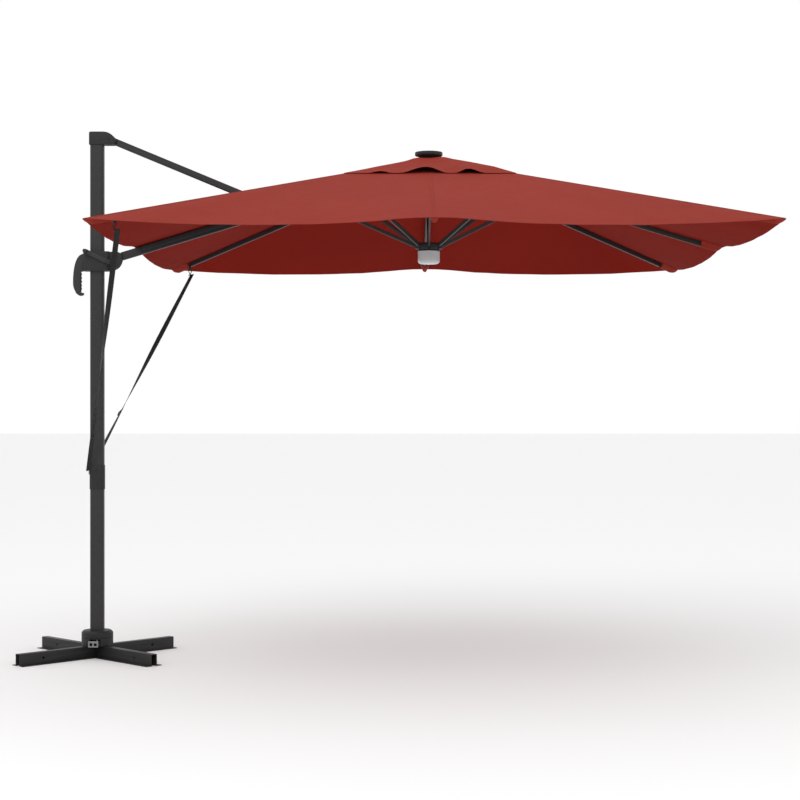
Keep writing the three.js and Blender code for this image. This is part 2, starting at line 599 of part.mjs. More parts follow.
function rib(kind, hasHook) {
  const { angle, long, jointAt } = ribLine(kind);
  const h = RIB.deep / 2;
  const drop = jointDrop(kind);
  let body;
  if (kind === 'boom') {
    const rails = [-1, 1].map((side) => {
      const [y0, y1] = side > 0 ? [RAIL.inner, RAIL.outer] : [-RAIL.outer, -RAIL.inner];
      const stub = rod(3.4, [0, side * (RAIL.outer - 1), 0], [0, side * (RAIL.outer + 3), 0], 12);
      const web = box([jointAt - 14, jointAt + 14], [y0, y1], [-BOOM.deep + h - 7, 0]);
      return union(box([-7, long], [y0, y1], [-h, h]), stub, web);
    });
    const under = -BOOM.deep + h - 3;
    const yoke = box([jointAt - 14, jointAt + 14], [-RAIL.outer, RAIL.outer], [under - 4, under]);
    body = union(rails[0], rails[1], yoke, lug(jointAt, drop, -under + 3));
  } else {
    const w = RIB.wide / 2;
    const stubs = rod(3.4, [0, -8, 0], [0, 8, 0], 12);
    body = union(box([-7, long], [-w, w], [-h, h]), stubs, lug(jointAt, drop, h));
  }
  if (hasHook) body = union(body, hookEye((HOOK_R - PIVOT_R) / Math.cos(angle)));
  return laid(body, angle, [PIVOT_R, 0, PIVOT_Z]);
}

function hookEye(at) {
  const h = RIB.deep / 2;
  const tab = box([at - 9, at + 9], [-2, 2], [-h - 17, 1 - h]);
  return cut(tab, rod(5, [at, -5, -h - 10], [at, 5, -h - 10], 12));
}

function stretcher(kind) {
  const [r, z] = ribJoint(kind);
  const run = [RUNNER.pivotR - r, RUNNER.pivotZ - z];
  const long = Math.hypot(...run);
  const { deep, wide, cheek } = STRETCHER;
  const w = wide / 2;
  const h = deep / 2;
  const bar = box([14, long - 4], [-w, w], [-h, h]);
  const eye = plate(capsule(6, h), -w, w).translate([long - 6, 0, 0]);
  const inner = w - cheek + 0.7;
  const cheeks = [-1, 1].map((s) => {
    const [y0, y1] = s > 0 ? [inner, w + 1] : [-w - 1, -inner];
    return plate(capsule(26, h), y0, y1);
  });
  const room = box([-LUG.radius - 4, LUG.radius + 3], [-inner, inner], [-h - CUT, h + CUT]);
  const hole = rod(LUG.pin + GAP, [0, -w - CUT, 0], [0, w + CUT, 0], 8);
  const body = cut(union(bar, eye, ...cheeks), room, hole);
  return laid(body, Math.atan2(-run[1], run[0]), [r, 0, z]);
}

const RIB_NAMES = ['far', 'far_back', 'back', 'near_back', 'mast_side', 'near_front', 'front', 'far_front'];

function kindOf(i) {
  if (i === BOOM_SIDE) return 'boom';
  return i % 2 ? 'corner' : 'mid';
}

function addRibs() {
  for (const [i, name] of RIB_NAMES.entries()) {
    const spoke = new THREE.Group();
    spoke.rotation.z = azimuthOf(i);
    crown.add(spoke);
    place(`rib_${name}`, rib(kindOf(i), name.startsWith('near')), FRAME, spoke);
    place(`stretcher_${name}`, stretcher(kindOf(i)), FRAME, spoke);
  }
}

function addRunner() {
  const { radius, bottom, top, pivotR } = RUNNER;
  const waist = LED.radius + 2;
  const shoulder = [[radius, bottom + 6], [radius, top - 6], [radius - 8, top]];
  const outline = [[0, bottom], [waist, bottom], ...shoulder, [0, top]];
  let hub = turned(outline, 32);
  const slotHalf = STRETCHER.wide / 2 + RUN;
  const inner = pivotR - STRETCHER.deep / 2 - 1;
  for (let i = 0; i < 8; i += 1) {
    const slot = box([inner, radius + CUT], [-slotHalf, slotHalf], [bottom - CUT, top + CUT]);
    hub = hub.subtract(turnedTo(slot, azimuthOf(i)));
  }
  place('runner_hub', hub, PLASTIC, crown);
  const ledTop = LED.top;
  const ring = [[0, ledTop - 6], [LED.radius, ledTop - 6], [LED.radius, ledTop], [0, ledTop]];
  place('led_housing', turned(ring), PLASTIC, crown);
  const lensTop = ledTop - 6 - GAP;
  const { radius: r, bottom: low, round } = LED;
  const dome = [[0, low]];
  for (let i = 0; i <= 4; i += 1) {
    const a = (i / 4) * (Math.PI / 2);
    dome.push([r - round + round * Math.sin(a), low + round - round * Math.cos(a) + (i ? 0 : 1)]);
  }
  dome.push([r, lensTop], [0, lensTop]);
  place('led_lens', turned(dome), LENS, crown);
}

// ---------------------------------------------------------------- fabric
// a square pyramid of cloth, its free edges sagging between the ribs, as a closed thin shell
function tent(half, apexZ, [midZ, cornerZ], sag, inner, slices, rings, { slit = 0, clampZ = apexZ } = {}) {
  const positions = [];
  const start = Math.PI;
  for (const layer of [SHEET, 0]) {
    for (let i = 0; i <= slices; i += 1) {
      const azimuth = start + (i / slices) * Math.PI * 2;
      const [c, s] = [Math.cos(azimuth), Math.sin(azimuth)];
      const reach = half / Math.max(Math.abs(c), Math.abs(s));
      const between = Math.min(Math.abs(c), Math.abs(s)) / Math.max(Math.abs(c), Math.abs(s));
      for (let j = 0; j <= rings; j += 1) {
        const share = inner / half + (1 - inner / half) * (j / rings);
        const edgeZ = midZ + (cornerZ - midZ) * between;
        const straight = Math.min(clampZ, apexZ - (apexZ - edgeZ) * share);
        const z = straight - sag * 4 * between * (1 - between) * share ** 2 + layer;
        const offset = slit && i === 0 ? -slit / 2 : slit && i === slices ? slit / 2 : 0;
        positions.push(c * reach * share, s * reach * share - offset, z);
      }
    }
  }
  return closedShell(positions, slices, rings, Boolean(slit));
}

function closedShell(positions, slices, rings, open) {
  const row = rings + 1;
  const layer = (slices + 1) * row;
  const index = [];
  const at = (l, i, j) => l * layer + (open ? i : i % slices) * row + j;
  const quad = (a, b, c, d) => index.push(a, b, c, a, c, d);
  for (let i = 0; i < slices; i += 1) {
    for (let j = 0; j < rings; j += 1) {
      quad(at(0, i, j), at(0, i, j + 1), at(0, i + 1, j + 1), at(0, i + 1, j));
      quad(at(1, i, j), at(1, i + 1, j), at(1, i + 1, j + 1), at(1, i, j + 1));
    }
    quad(at(0, i, rings), at(1, i, rings), at(1, i + 1, rings), at(0, i + 1, rings));
    quad(at(1, i, 0), at(0, i, 0), at(0, i + 1, 0), at(1, i + 1, 0));
  }
  for (let j = 0; open && j < rings; j += 1) {
    quad(at(1, 0, j), at(1, 0, j + 1), at(0, 0, j + 1), at(0, 0, j));
    quad(at(0, slices, j), at(0, slices, j + 1), at(1, slices, j + 1), at(1, slices, j));
  }
  const geometry = new THREE.BufferGeometry();
  geometry.setAttribute('position', new THREE.Float32BufferAttribute(positions, 3));
  geometry.setIndex(index);
  return geometry;
}

function addFabric() {
  const hole = CROWN.core + 3;
  const knee = KNEE.x - CENTRE_X;
  const { towardsMast, towardsCrown, half } = STRUT_SLOT;
  const slot = box([knee - towardsMast, knee + towardsCrown], [-half, half], [TIP_Z.corner, APEX_Z]);
  const tips = [TIP_Z.mid, TIP_Z.corner];
  const cloth = tent(HALF, APEX_Z, tips, HEM_SAG, hole, 32, 6, { slit: SLIT });
  const sheet = solid(cloth).subtract(slot);
  place('canopy_sheet', sheet, FABRIC, crown);
  const clampZ = FINIAL.bottom - SHEET - RUN;
  const ventApex = APEX_Z + VENT_APEX_PROUD;
  const ventShare = VENT_SIDE / CANOPY_SIDE;
  const ventEdge = tips.map((z) => APEX_Z - (APEX_Z - z) * ventShare + VENT_EDGE_PROUD);
  place('vent_cap', tent(VENT_SIDE / 2, ventApex, ventEdge, 0, hole, 16, 6, { clampZ }), FABRIC, crown);
}

// ---------------------------------------------------------------- straps
// one at each mast-side corner: a ring hooked under the rib, webbing, and a buckle
function addStraps() {
  const corner = ribLine('corner');
  const at = (HOOK_R - PIVOT_R) / Math.cos(corner.angle);
  const under = RIB.deep / 2 + 10;
  const eyeR = PIVOT_R + at * Math.cos(corner.angle) - under * Math.sin(corner.angle);
  const eyeZ = PIVOT_Z - at * Math.sin(corner.angle) - under * Math.cos(corner.angle);
  const ringR = 13;
  for (const [name, side] of [['front', -1], ['back', 1]]) {
    const azimuth = side > 0 ? azimuthOf(3) : azimuthOf(5);
    const eye = new THREE.Vector3(CENTRE_X + eyeR * Math.cos(azimuth), eyeR * Math.sin(azimuth), eyeZ);
    const ring = new THREE.TorusGeometry(ringR, 2.5, 6, 16);
    ring.rotateY(Math.PI / 2);
    ring.rotateZ(azimuth);
    ring.translate(eye.x, eye.y, eye.z - ringR);
    place(`hook_${name}`, ring, BRIGHT);
    const top = new THREE.Vector3(eye.x, eye.y, eye.z - ringR * 2 - 4);
    const low = new THREE.Vector3(STRAP_FOOT.x, side * STRAP_FOOT.y, ANCHOR.z + 2);
    place(`strap_${name}`, ribbon(low, top, STRAP.wide, STRAP.thick), WEBBING);
    const way = top.clone().sub(low).normalize();
    const middle = low.clone().addScaledVector(way, BUCKLE_FROM_ANCHOR);
    const from = middle.clone().addScaledVector(way, -14);
    const to = middle.clone().addScaledVector(way, 14);
    const sleeve = solid(ribbon(from, to, STRAP.wide + 10, STRAP.thick + 9));
    const [roomFrom, roomTo] = [from.addScaledVector(way, -CUT), to.addScaledVector(way, CUT)];
    const room = solid(ribbon(roomFrom, roomTo, STRAP.wide + 3, STRAP.thick + 3));
    place(`buckle_${name}`, sleeve.subtract(room), STEEL);
  }
}

// a flat bar between two points, its face kept as level as it can be
function ribbon(from, to, wide, thick) {
  const along = to.clone().sub(from);
  const geometry = new THREE.BoxGeometry(wide, along.length(), thick);
  const y = along.clone().normalize();
  const x = new THREE.Vector3(1, 0, 0).cross(y).cross(y).normalize();
  const z = x.clone().cross(y);
  geometry.applyMatrix4(new THREE.Matrix4().makeBasis(x, y, z));
  geometry.translate(...from.clone().add(to).multiplyScalar(0.5).toArray());
  return geometry;
}

addBase();
addMast();
addSlider();
addBoom();
addCrown();
addRibs();
addRunner();
addFabric();
addStraps();

export default object;
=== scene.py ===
import json
import math

import bmesh
import bpy
from mathutils import Matrix, Vector

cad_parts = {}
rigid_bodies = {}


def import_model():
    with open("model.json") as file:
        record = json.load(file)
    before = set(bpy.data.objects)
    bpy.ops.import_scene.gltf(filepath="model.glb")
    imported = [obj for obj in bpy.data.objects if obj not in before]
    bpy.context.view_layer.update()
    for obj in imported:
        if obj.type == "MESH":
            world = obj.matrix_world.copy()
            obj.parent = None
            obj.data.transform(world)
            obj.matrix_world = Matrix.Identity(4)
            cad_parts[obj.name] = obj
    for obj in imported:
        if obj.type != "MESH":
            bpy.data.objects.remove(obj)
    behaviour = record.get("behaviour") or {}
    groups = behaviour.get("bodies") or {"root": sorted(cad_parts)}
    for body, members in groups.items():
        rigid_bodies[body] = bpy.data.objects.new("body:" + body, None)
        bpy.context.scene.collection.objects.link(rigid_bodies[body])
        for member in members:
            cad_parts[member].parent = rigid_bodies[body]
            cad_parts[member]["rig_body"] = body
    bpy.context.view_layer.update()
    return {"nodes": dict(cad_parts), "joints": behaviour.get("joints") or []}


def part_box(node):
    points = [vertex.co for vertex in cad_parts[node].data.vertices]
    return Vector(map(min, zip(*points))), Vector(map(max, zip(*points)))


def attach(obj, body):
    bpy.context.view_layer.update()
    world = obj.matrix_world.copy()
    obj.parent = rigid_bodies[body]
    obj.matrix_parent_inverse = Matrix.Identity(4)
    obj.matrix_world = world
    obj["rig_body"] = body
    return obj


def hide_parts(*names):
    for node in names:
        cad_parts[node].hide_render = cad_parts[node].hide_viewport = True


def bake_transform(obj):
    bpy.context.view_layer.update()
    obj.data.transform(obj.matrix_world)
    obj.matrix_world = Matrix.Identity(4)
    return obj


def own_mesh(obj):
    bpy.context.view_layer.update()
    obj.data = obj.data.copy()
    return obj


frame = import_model()
JOINTS = {joint["name"]: joint for joint in frame["joints"]}

# ---------------------------------------------------------------- driving sizes, in metres
SHEET_LOW, SHEET_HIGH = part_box("canopy_sheet")
CENTRE = Vector(((SHEET_LOW.x + SHEET_HIGH.x) / 2, 0, 0))
HALF = (SHEET_HIGH.x - SHEET_LOW.x) / 2
APEX = 2.540
MID_TIP = 2.088
CORNER_TIP = 2.084
BOOM_SLOPE = 0.302
HEM_SAG = 0.030
CLOTH = 0.0012
HEM = 0.030
VENT_OPENING = 0.17
VENT_HALF = 0.42
VENT_APEX = APEX + 0.013
VENT_PROUD = 0.0028
FINIAL_LOW, FINIAL_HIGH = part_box("finial")
FINIAL_FOOT = FINIAL_HIGH.z - 0.029
VENT_CLAMP = FINIAL_FOOT - 0.0017
VENT_INNER = 0.024
ROPE_THICK = 0.005
ROPE_SIDES = 10
ROPE_TURN = 0.0165
ROPE_IN_BOOM = 1.48
STRAP_WIDE = 0.025
STRAP_THICK = 0.0017
STRAP_START = 12  # degrees of twist at the strap's foot
POCKET_DEEP = 0.0275

RIB_NAMES = ["far", "far_back", "back", "near_back", "mast_side", "near_front", "front", "far_front"]
MAST_SIDE = 4
EIGHTH = math.pi / 4


def joint_at(name):
    return Vector(JOINTS[name]["pos_m"])


def joint_axis(name):
    return Vector(JOINTS[name]["axis"])


# ---------------------------------------------------------------- materials
class Nodes:
    """A material's node tree with its shader, and short calls that add and link nodes."""

    def __init__(self, name, colour, roughness, metallic=0.0, sheen=0.0, coat=0.0, specular=0.5):
        self.material = bpy.data.materials.new(name)
        self.material.use_nodes = True
        self.tree = self.material.node_tree
        self.shader = self.tree.nodes["Principled BSDF"]
        self.shader.inputs["Base Color"].default_value = (*colour, 1)
        self.shader.inputs["Roughness"].default_value = roughness
        self.shader.inputs["Metallic"].default_value = metallic
        self.shader.inputs["Sheen Weight"].default_value = sheen
        self.shader.inputs["Coat Weight"].default_value = coat
        self.shader.inputs["Specular IOR Level"].default_value = specular
        self.place = self.tree.nodes.new("ShaderNodeTexCoord")

    def add(self, kind, **inputs):
        node = self.tree.nodes.new(kind)
        for key, value in inputs.items():
            self.put(node.inputs[key.replace("_", " ")], value)
        return node

    def put(self, socket, value):
        if isinstance(value, bpy.types.NodeSocket):
            self.tree.links.new(value, socket)
        else:
            socket.default_value = value

    def noise(self, scale, detail=3.0, stretch=None, source="Object"):
        where = self.place.outputs[source]
        if stretch:
            where = self.add("ShaderNodeMapping", Vector=where, Scale=stretch).outputs[0]
        return self.add("ShaderNodeTexNoise", Vector=where, Scale=scale, Detail=detail).outputs["Fac"]

    def wave(self, scale, direction):
        node = self.add("ShaderNodeTexWave", Vector=self.place.outputs["UV"], Scale=scale)
        node.bands_direction = direction
        return node.outputs["Fac"]

    def between(self, value, low, high):
        node = self.add("ShaderNodeMapRange", Value=value)
        node.inputs["To Min"].default_value = low
        node.inputs["To Max"].default_value = high
        return node.outputs["Result"]

    def math(self, operation, first, second):
        node = self.tree.nodes.new("ShaderNodeMath")
        node.operation = operation
        self.put(node.inputs[0], first)
        self.put(node.inputs[1], second)
        return node.outputs[0]

    def tint(self, share, low, high):
        node = self.tree.nodes.new("ShaderNodeMix")
        node.data_type = "RGBA"
        self.put(node.inputs[0], share)
        node.inputs[6].default_value = (*low, 1)
        node.inputs[7].default_value = (*high, 1)
        return node.outputs[2]

    def colour(self, socket):
        self.tree.links.new(socket, self.shader.inputs["Base Color"])

    def roughness(self, socket):
        self.tree.links.new(socket, self.shader.inputs["Roughness"])

    def bump(self, height, strength, distance):
        node = self.add("ShaderNodeBump", Height=height, Strength=strength, Distance=distance)
        self.tree.links.new(node.outputs["Normal"], self.shader.inputs["Normal"])


def shade(colour, factor):
    return tuple(min(1.0, c * factor) for c in colour)


def woven(name, colour, pitch=0.0013, sheen=0.06, specular=0.12):
    """Plain-weave cloth: threads both ways, slow fading in colour, and slubs."""
    nodes = Nodes(name, colour, 0.88, sheen=sheen, specular=specular)
    nodes.shader.inputs["Sheen Roughness"].default_value = 0.5
    nodes.shader.inputs["Sheen Tint"].default_value = (*shade(colour, 2.0), 1)
    scale = math.pi / 10 / pitch
    threads = nodes.math("ADD", nodes.wave(scale, "X"), nodes.wave(scale, "Y"))
    slubs = nodes.noise(900, 2)
    height = nodes.math("ADD", threads, slubs)
    fading = nodes.math("ADD", nodes.noise(1.6, 4), nodes.math("MULTIPLY", threads, 0.08))
    nodes.colour(nodes.tint(fading, shade(colour, 0.86), shade(colour, 1.12)))
    nodes.roughness(nodes.between(nodes.noise(14), 0.8, 0.95))
    nodes.bump(height, 0.25, 0.0004)
    return nodes.material


def powder_coat(name, colour, roughness=0.42):
    """Baked powder paint: fine orange peel, slow gloss change, paler along worn edges."""
    nodes = Nodes(name, colour, roughness, specular=0.3)
    geometry = nodes.add("ShaderNodeNewGeometry")
    edges = nodes.add("ShaderNodeMapRange", Value=geometry.outputs["Pointiness"])
    edges.inputs["From Min"].default_value = 0.52
    edges.inputs["From Max"].default_value = 0.62
    worn = nodes.math("MULTIPLY", edges.outputs["Result"], nodes.between(nodes.noise(40, 4), 0.0, 0.6))
    nodes.colour(nodes.tint(worn, colour, shade(colour, 2.2)))
    nodes.roughness(nodes.between(nodes.noise(5, 4), roughness - 0.06, roughness + 0.08))
    nodes.bump(nodes.noise(1100, 2), 0.12, 0.0003)
    return nodes.material


def moulded(name, colour, roughness=0.55):
    """Moulded plastic with a fine spark-eroded grain."""
    nodes = Nodes(name, colour, roughness, specular=0.28)
    dust = nodes.noise(9, 5)
    nodes.colour(nodes.tint(dust, shade(colour, 0.85), shade(colour, 1.2)))
    nodes.roughness(nodes.between(nodes.noise(30), roughness - 0.08, roughness + 0.1))
    nodes.bump(nodes.noise(1600, 3), 0.2, 0.0003)
    return nodes.material


def brushed(name, colour, roughness=0.32):
    """Zinc-plated or brushed steel."""
    nodes = Nodes(name, colour, roughness, metallic=1.0)
    lines = nodes.noise(60, 4, stretch=(60, 60, 2))
    nodes.colour(nodes.tint(nodes.noise(25, 5), shade(colour, 0.8), shade(colour, 1.1)))
    nodes.roughness(nodes.between(lines, roughness - 0.08, roughness + 0.14))
    nodes.bump(lines, 0.08, 0.0002)
    return nodes.material


def webbing(name, colour):
    """Polyester webbing: fine ribs across and along."""
    nodes = Nodes(name, colour, 0.8, sheen=0.1, specular=0.15)
    ribs = nodes.math("ADD", nodes.wave(math.pi / 10 / 0.0022, "Y"), nodes.wave(math.pi / 10 / 0.0035, "X"))
    nodes.colour(nodes.tint(nodes.between(ribs, 0.0, 0.5), shade(colour, 0.7), shade(colour, 1.5)))
    nodes.bump(ribs, 0.5, 0.0006)
    return nodes.material


def frosted(name, colour):
    """Milky diffuser over the lamps."""
    nodes = Nodes(name, colour, 0.3, coat=0.2)
    nodes.shader.inputs["Subsurface Weight"].default_value = 0.15
    nodes.shader.inputs["Subsurface Scale"].default_value = 0.01
    nodes.colour(nodes.tint(nodes.noise(18, 3), shade(colour, 0.93), shade(colour, 1.06)))
    nodes.bump(nodes.noise(500, 2), 0.08, 0.0003)
    return nodes.material


def solar(name):
    """Dark solar cells with fine silver lines."""
    cell, line = (0.008, 0.012, 0.028), (0.22, 0.23, 0.25)
    nodes = Nodes(name, cell, 0.12, coat=0.6)
    grid = nodes.add("ShaderNodeTexBrick", Vector=nodes.place.outputs["Object"], Scale=1.0)
    grid.offset = 0
    grid.inputs["Brick Width"].default_value = 0.021
    grid.inputs["Row Height"].default_value = 0.0105
    grid.inputs["Mortar Size"].default_value = 0.0005
    nodes.colour(nodes.tint(grid.outputs["Fac"], cell, line))
    nodes.roughness(nodes.between(nodes.noise(20), 0.08, 0.2))
    return nodes.material


TERRACOTTA = (0.252, 0.028, 0.018)
CANVAS = woven("canvas_outside", TERRACOTTA)
# The underside cloth is the same canvas made darker and deeper red, with less sheen and specular: painted
# shade for the underside, which the lamps light less.
SHADED_UNDERSIDE_CLOTH = woven("canvas_underside_painted_shade", (0.182, 0.0085, 0.0035), sheen=0.02, specular=0.04)
HEM_CLOTH = woven("canvas_doubled", shade(TERRACOTTA, 0.97))
THREAD = woven("sewing_thread", shade(TERRACOTTA, 0.85), pitch=0.0005)
PAINT = powder_coat("grey_powder_coat", (0.019, 0.019, 0.0195))
ALLOY = powder_coat("grey_stretcher_coat", (0.036, 0.036, 0.037), roughness=0.34)
BLACK_PAINT = powder_coat("black_steel_coat", (0.017, 0.017, 0.0175), roughness=0.5)
PLASTIC = moulded("dark_plastic", (0.019, 0.019, 0.0195))
GRIP_PLASTIC = moulded("grip_plastic", (0.028, 0.028, 0.0285), roughness=0.48)
STEEL = brushed("plated_steel", (0.58, 0.59, 0.60))
WORN_STEEL = brushed("worn_steel", (0.24, 0.25, 0.25))
WEBBING = webbing("black_webbing", (0.010, 0.010, 0.011))
ROPE = webbing("black_cord", (0.018, 0.018, 0.018))
DIFFUSER = frosted("milky_diffuser", (0.56, 0.61, 0.62))
CELLS = solar("solar_cells")


# ---------------------------------------------------------------- mesh helpers
def piece(name, vertices, faces, material, body, sharp=math.radians(35), extra=()):
    """A named mesh in the row frame that rides on a body."""
    mesh = bpy.data.meshes.new(name)
    mesh.from_pydata([tuple(v) for v in vertices], [], faces)
    mesh.materials.append(material)
    for other in extra:
        mesh.materials.append(other)
    return finished(name, mesh, body, sharp)


def finished(name, mesh, body, sharp):
    tidy = bmesh.new()
    tidy.from_mesh(mesh)
    bmesh.ops.recalc_face_normals(tidy, faces=tidy.faces)
    tidy.to_mesh(mesh)
    tidy.free()
    mesh.shade_smooth()
    mesh.set_sharp_from_angle(angle=sharp)
    made = bpy.data.objects.new(name, mesh)
    bpy.context.scene.collection.objects.link(made)
    if body:
        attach(made, body)
    return made


def write_uv(made, uv_of):
    """Texture coordinates in metres, from each vertex."""
    layer = made.data.uv_layers.new(name="metres")
    for loop in made.data.loops:
        layer.data[loop.index].uv = uv_of(loop.vertex_index)


def join_rings(rings, closed_ends=True, ring_closed=True):
    """Faces between equal rings of points, given one after another."""
    vertices = [v for ring in rings for v in ring]
    count = len(rings[0])
    faces = []
    for i in range(len(rings) - 1):
        for k in range(count if ring_closed else count - 1):
            a, b = i * count + k, i * count + (k + 1) % count
            faces.append((a, b, b + count, a + count))
    if closed_ends:
        faces.append(tuple(range(count - 1, -1, -1)))
        faces.append(tuple((len(rings) - 1) * count + k for k in range(count)))
    return vertices, faces


def combined(parts):
    vertices, faces = [], []
    for part_vertices, part_faces in parts:
        start = len(vertices)
        vertices.extend(part_vertices)
        faces.extend(tuple(start + index for index in face) for face in part_faces)
    return vertices, faces


def turned(profile, at, along=Vector((0, 0, 1)), sides=64):
    """A profile of (radius, height) turned about an axis through a point; the ends close on the axis."""
    turn = Vector((0, 0, 1)).rotation_difference(along)
    rings = []
    for radius, height in profile:
        ring = []
        for k in range(sides):
            angle = 2 * math.pi * k / sides
            ring.append(at + turn @ Vector((radius * math.cos(angle), radius * math.sin(angle), height)))
        rings.append(ring)
    return join_rings(rings)


def tube_on(path, radius, sides=12, closed=False):
    """A round bar that follows points."""
    rings = []
    count = len(path)
    for i, point in enumerate(path):
        before = path[i - 1] if i or closed else point
        after = path[(i + 1) % count] if i + 1 < count or closed else point
        along = (after - before).normalized()
        side = along.cross(Vector((0, 1, 0)))
        if side.length < 0.2:
            side = along.cross(Vector((1, 0, 0)))
        side.normalize()
        other = along.cross(side)
        angles = [2 * math.pi * k / sides for k in range(sides)]
        rings.append([point + side * radius * math.cos(a) + other * radius * math.sin(a) for a in angles])
    if closed:
        rings.append(rings[0])
    vertices, faces = join_rings(rings, closed_ends=not closed)
    return vertices, faces


def rounded_box(wide, deep, round_, steps=8):
    """The outline of a rounded rectangle, anticlockwise."""
    outline = []
    for quarter, (sx, sy) in enumerate(((1, 1), (-1, 1), (-1, -1), (1, -1))):
        for k in range(steps + 1):
            angle = math.pi / 2 * (quarter + k / steps)
            x = sx * (wide / 2 - round_) + round_ * math.cos(angle)
            y = sy * (deep / 2 - round_) + round_ * math.sin(angle)
            outline.append((x, y))
    return outline


def refined(node, material, bevel=0.0012, segments=3, sharp=35):
    """A finer copy of a hard CAD node: flat faces made whole and every hard edge rounded."""
    source = frame["nodes"][node]
    mesh = source.data.copy()
    mesh.materials.clear()
    mesh.materials.append(material)
    work = bmesh.new()
    work.from_mesh(mesh)
    bmesh.ops.remove_doubles(work, verts=work.verts, dist=1e-6)
    bmesh.ops.dissolve_limit(work, angle_limit=math.radians(1), verts=work.verts, edges=work.edges)
    work.to_mesh(mesh)
    work.free()
    made = bpy.data.objects.new(f"{node}_fine", mesh)
    bpy.context.scene.collection.objects.link(made)
    rounding = made.modifiers.new("rounded", "BEVEL")
    rounding.width = bevel
    rounding.segments = segments
    rounding.limit_method = "ANGLE"
    rounding.angle_limit = math.radians(sharp)
    rounding.use_clamp_overlap = True
    rounding.harden_normals = False
    graph = bpy.context.evaluated_depsgraph_get()
    final = bpy.data.meshes.new_from_object(made.evaluated_get(graph))
    made.modifiers.clear()
    made.data = final
    final.shade_smooth()
    final.set_sharp_from_angle(angle=math.radians(sharp))
    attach(made, source["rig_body"])
    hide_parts(node)
    return made


def screw(name, at, along, radius, body):
    """A pan-head screw, its head standing out along an axis."""
    shares = [(1.0, 0.0), (1.0, 0.25), (0.75, 0.5), (0.3, 0.6), (0.28, 0.35), (0.02, 0.3)]
    dome = [(radius * 0.6, -0.001)] + [(radius * out, radius * up) for out, up in shares]
    vertices, faces = turned(dome, at, along, 24)
    return piece(name, vertices, faces, BLACK_PAINT, body)


# ---------------------------------------------------------------- the cloth surface
def tension(x, y):
    """Small folds that run in from the hem and out of the corners."""
    m = max(abs(x), abs(y)) / HALF
    along = math.atan2(y, x)
    gathers = math.sin(along * 44) * 0.5 + math.sin(along * 71 + 1.3) * 0.3
    corner = abs(math.sin(2 * along)) ** 8
    return (gathers * 0.0012 * m ** 6) + corner * math.sin(along * 160) * 0.0010 * m ** 3


def cloth_height(x, y):
    """The canopy's underside at a place given from its centre: straight ribs, and sagging between them."""
    far, near = max(abs(x), abs(y)), min(abs(x), abs(y))
    share = far / HALF
    between = near / far if far else 0
    sag = HEM_SAG * 4 * between * (1 - between) * share ** 2
    sag *= 1 - math.exp(-(between / 0.12) ** 2)
    edge = MID_TIP + (CORNER_TIP - MID_TIP) * between
    return APEX - (APEX - edge) * share - sag + tension(x, y) * min(1, 6 * between)


def arch(x, start, end, top, height):
    """A smooth lift of the vent's edge between two sewn points."""
    if not start < x < end:
        return 0.0
    share = (x - start) / (top - start) if x < top else (end - x) / (end - top)
    return height * math.sin(share * math.pi / 2) ** 1.5


VENT_ARCHES = [(-0.142, 0.082, -0.020, 0.030), (0.126, 0.263, 0.187, 0.022), (-0.300, -0.190, -0.240, 0.010)]


def vent_height(x, y):
    """The vent cap over the opening: clamped at the finial, its free edge lifted in arches."""
    far, near = max(abs(x), abs(y)), min(abs(x), abs(y))
    share = far / VENT_HALF
    between = near / far if far else 0
    along = x if abs(y) >= abs(x) else -y * math.copysign(1, x)
    lift = sum(arch(along, *a) for a in VENT_ARCHES) * share ** 5
    puff = 0.006 * math.exp(-((math.hypot(x, y) - 0.10) / 0.045) ** 2)
    swell = 0.012 / (1 + math.exp((0.07 - x) / 0.025)) * min(1, 4 * (1 - share))
    sag = 0.010 * 4 * between * (1 - between) * share ** 2 * (1 - share)
    ends = [APEX - (APEX - tip) * VENT_HALF / HALF + VENT_PROUD for tip in (MID_TIP, CORNER_TIP)]
    edge = ends[0] + (ends[1] - ends[0]) * between
    return min(VENT_CLAMP, VENT_APEX - (VENT_APEX - edge) * share) + lift - sag + puff + swell


def surface_point(height, x, y, lift=0.0):
    return CENTRE + Vector((x, y, height(x, y) + lift))


def surface_normal(height, x, y):
    step = 0.004
    dx = (height(x + step, y) - height(x - step, y)) / (2 * step)
    dy = (height(x, y + step) - height(x, y - step)) / (2 * step)
    return Vector((-dx, -dy, 1)).normalized()


def radial_shares(inner, half, rows):
    edge = 1 - HEM / half
    shares = [inner / half + (edge - inner / half) * j / rows for j in range(rows + 1)]
    return shares + [edge + 0.001 / half, edge + HEM / half / 2, 1 - 0.002 / half, 1.0]


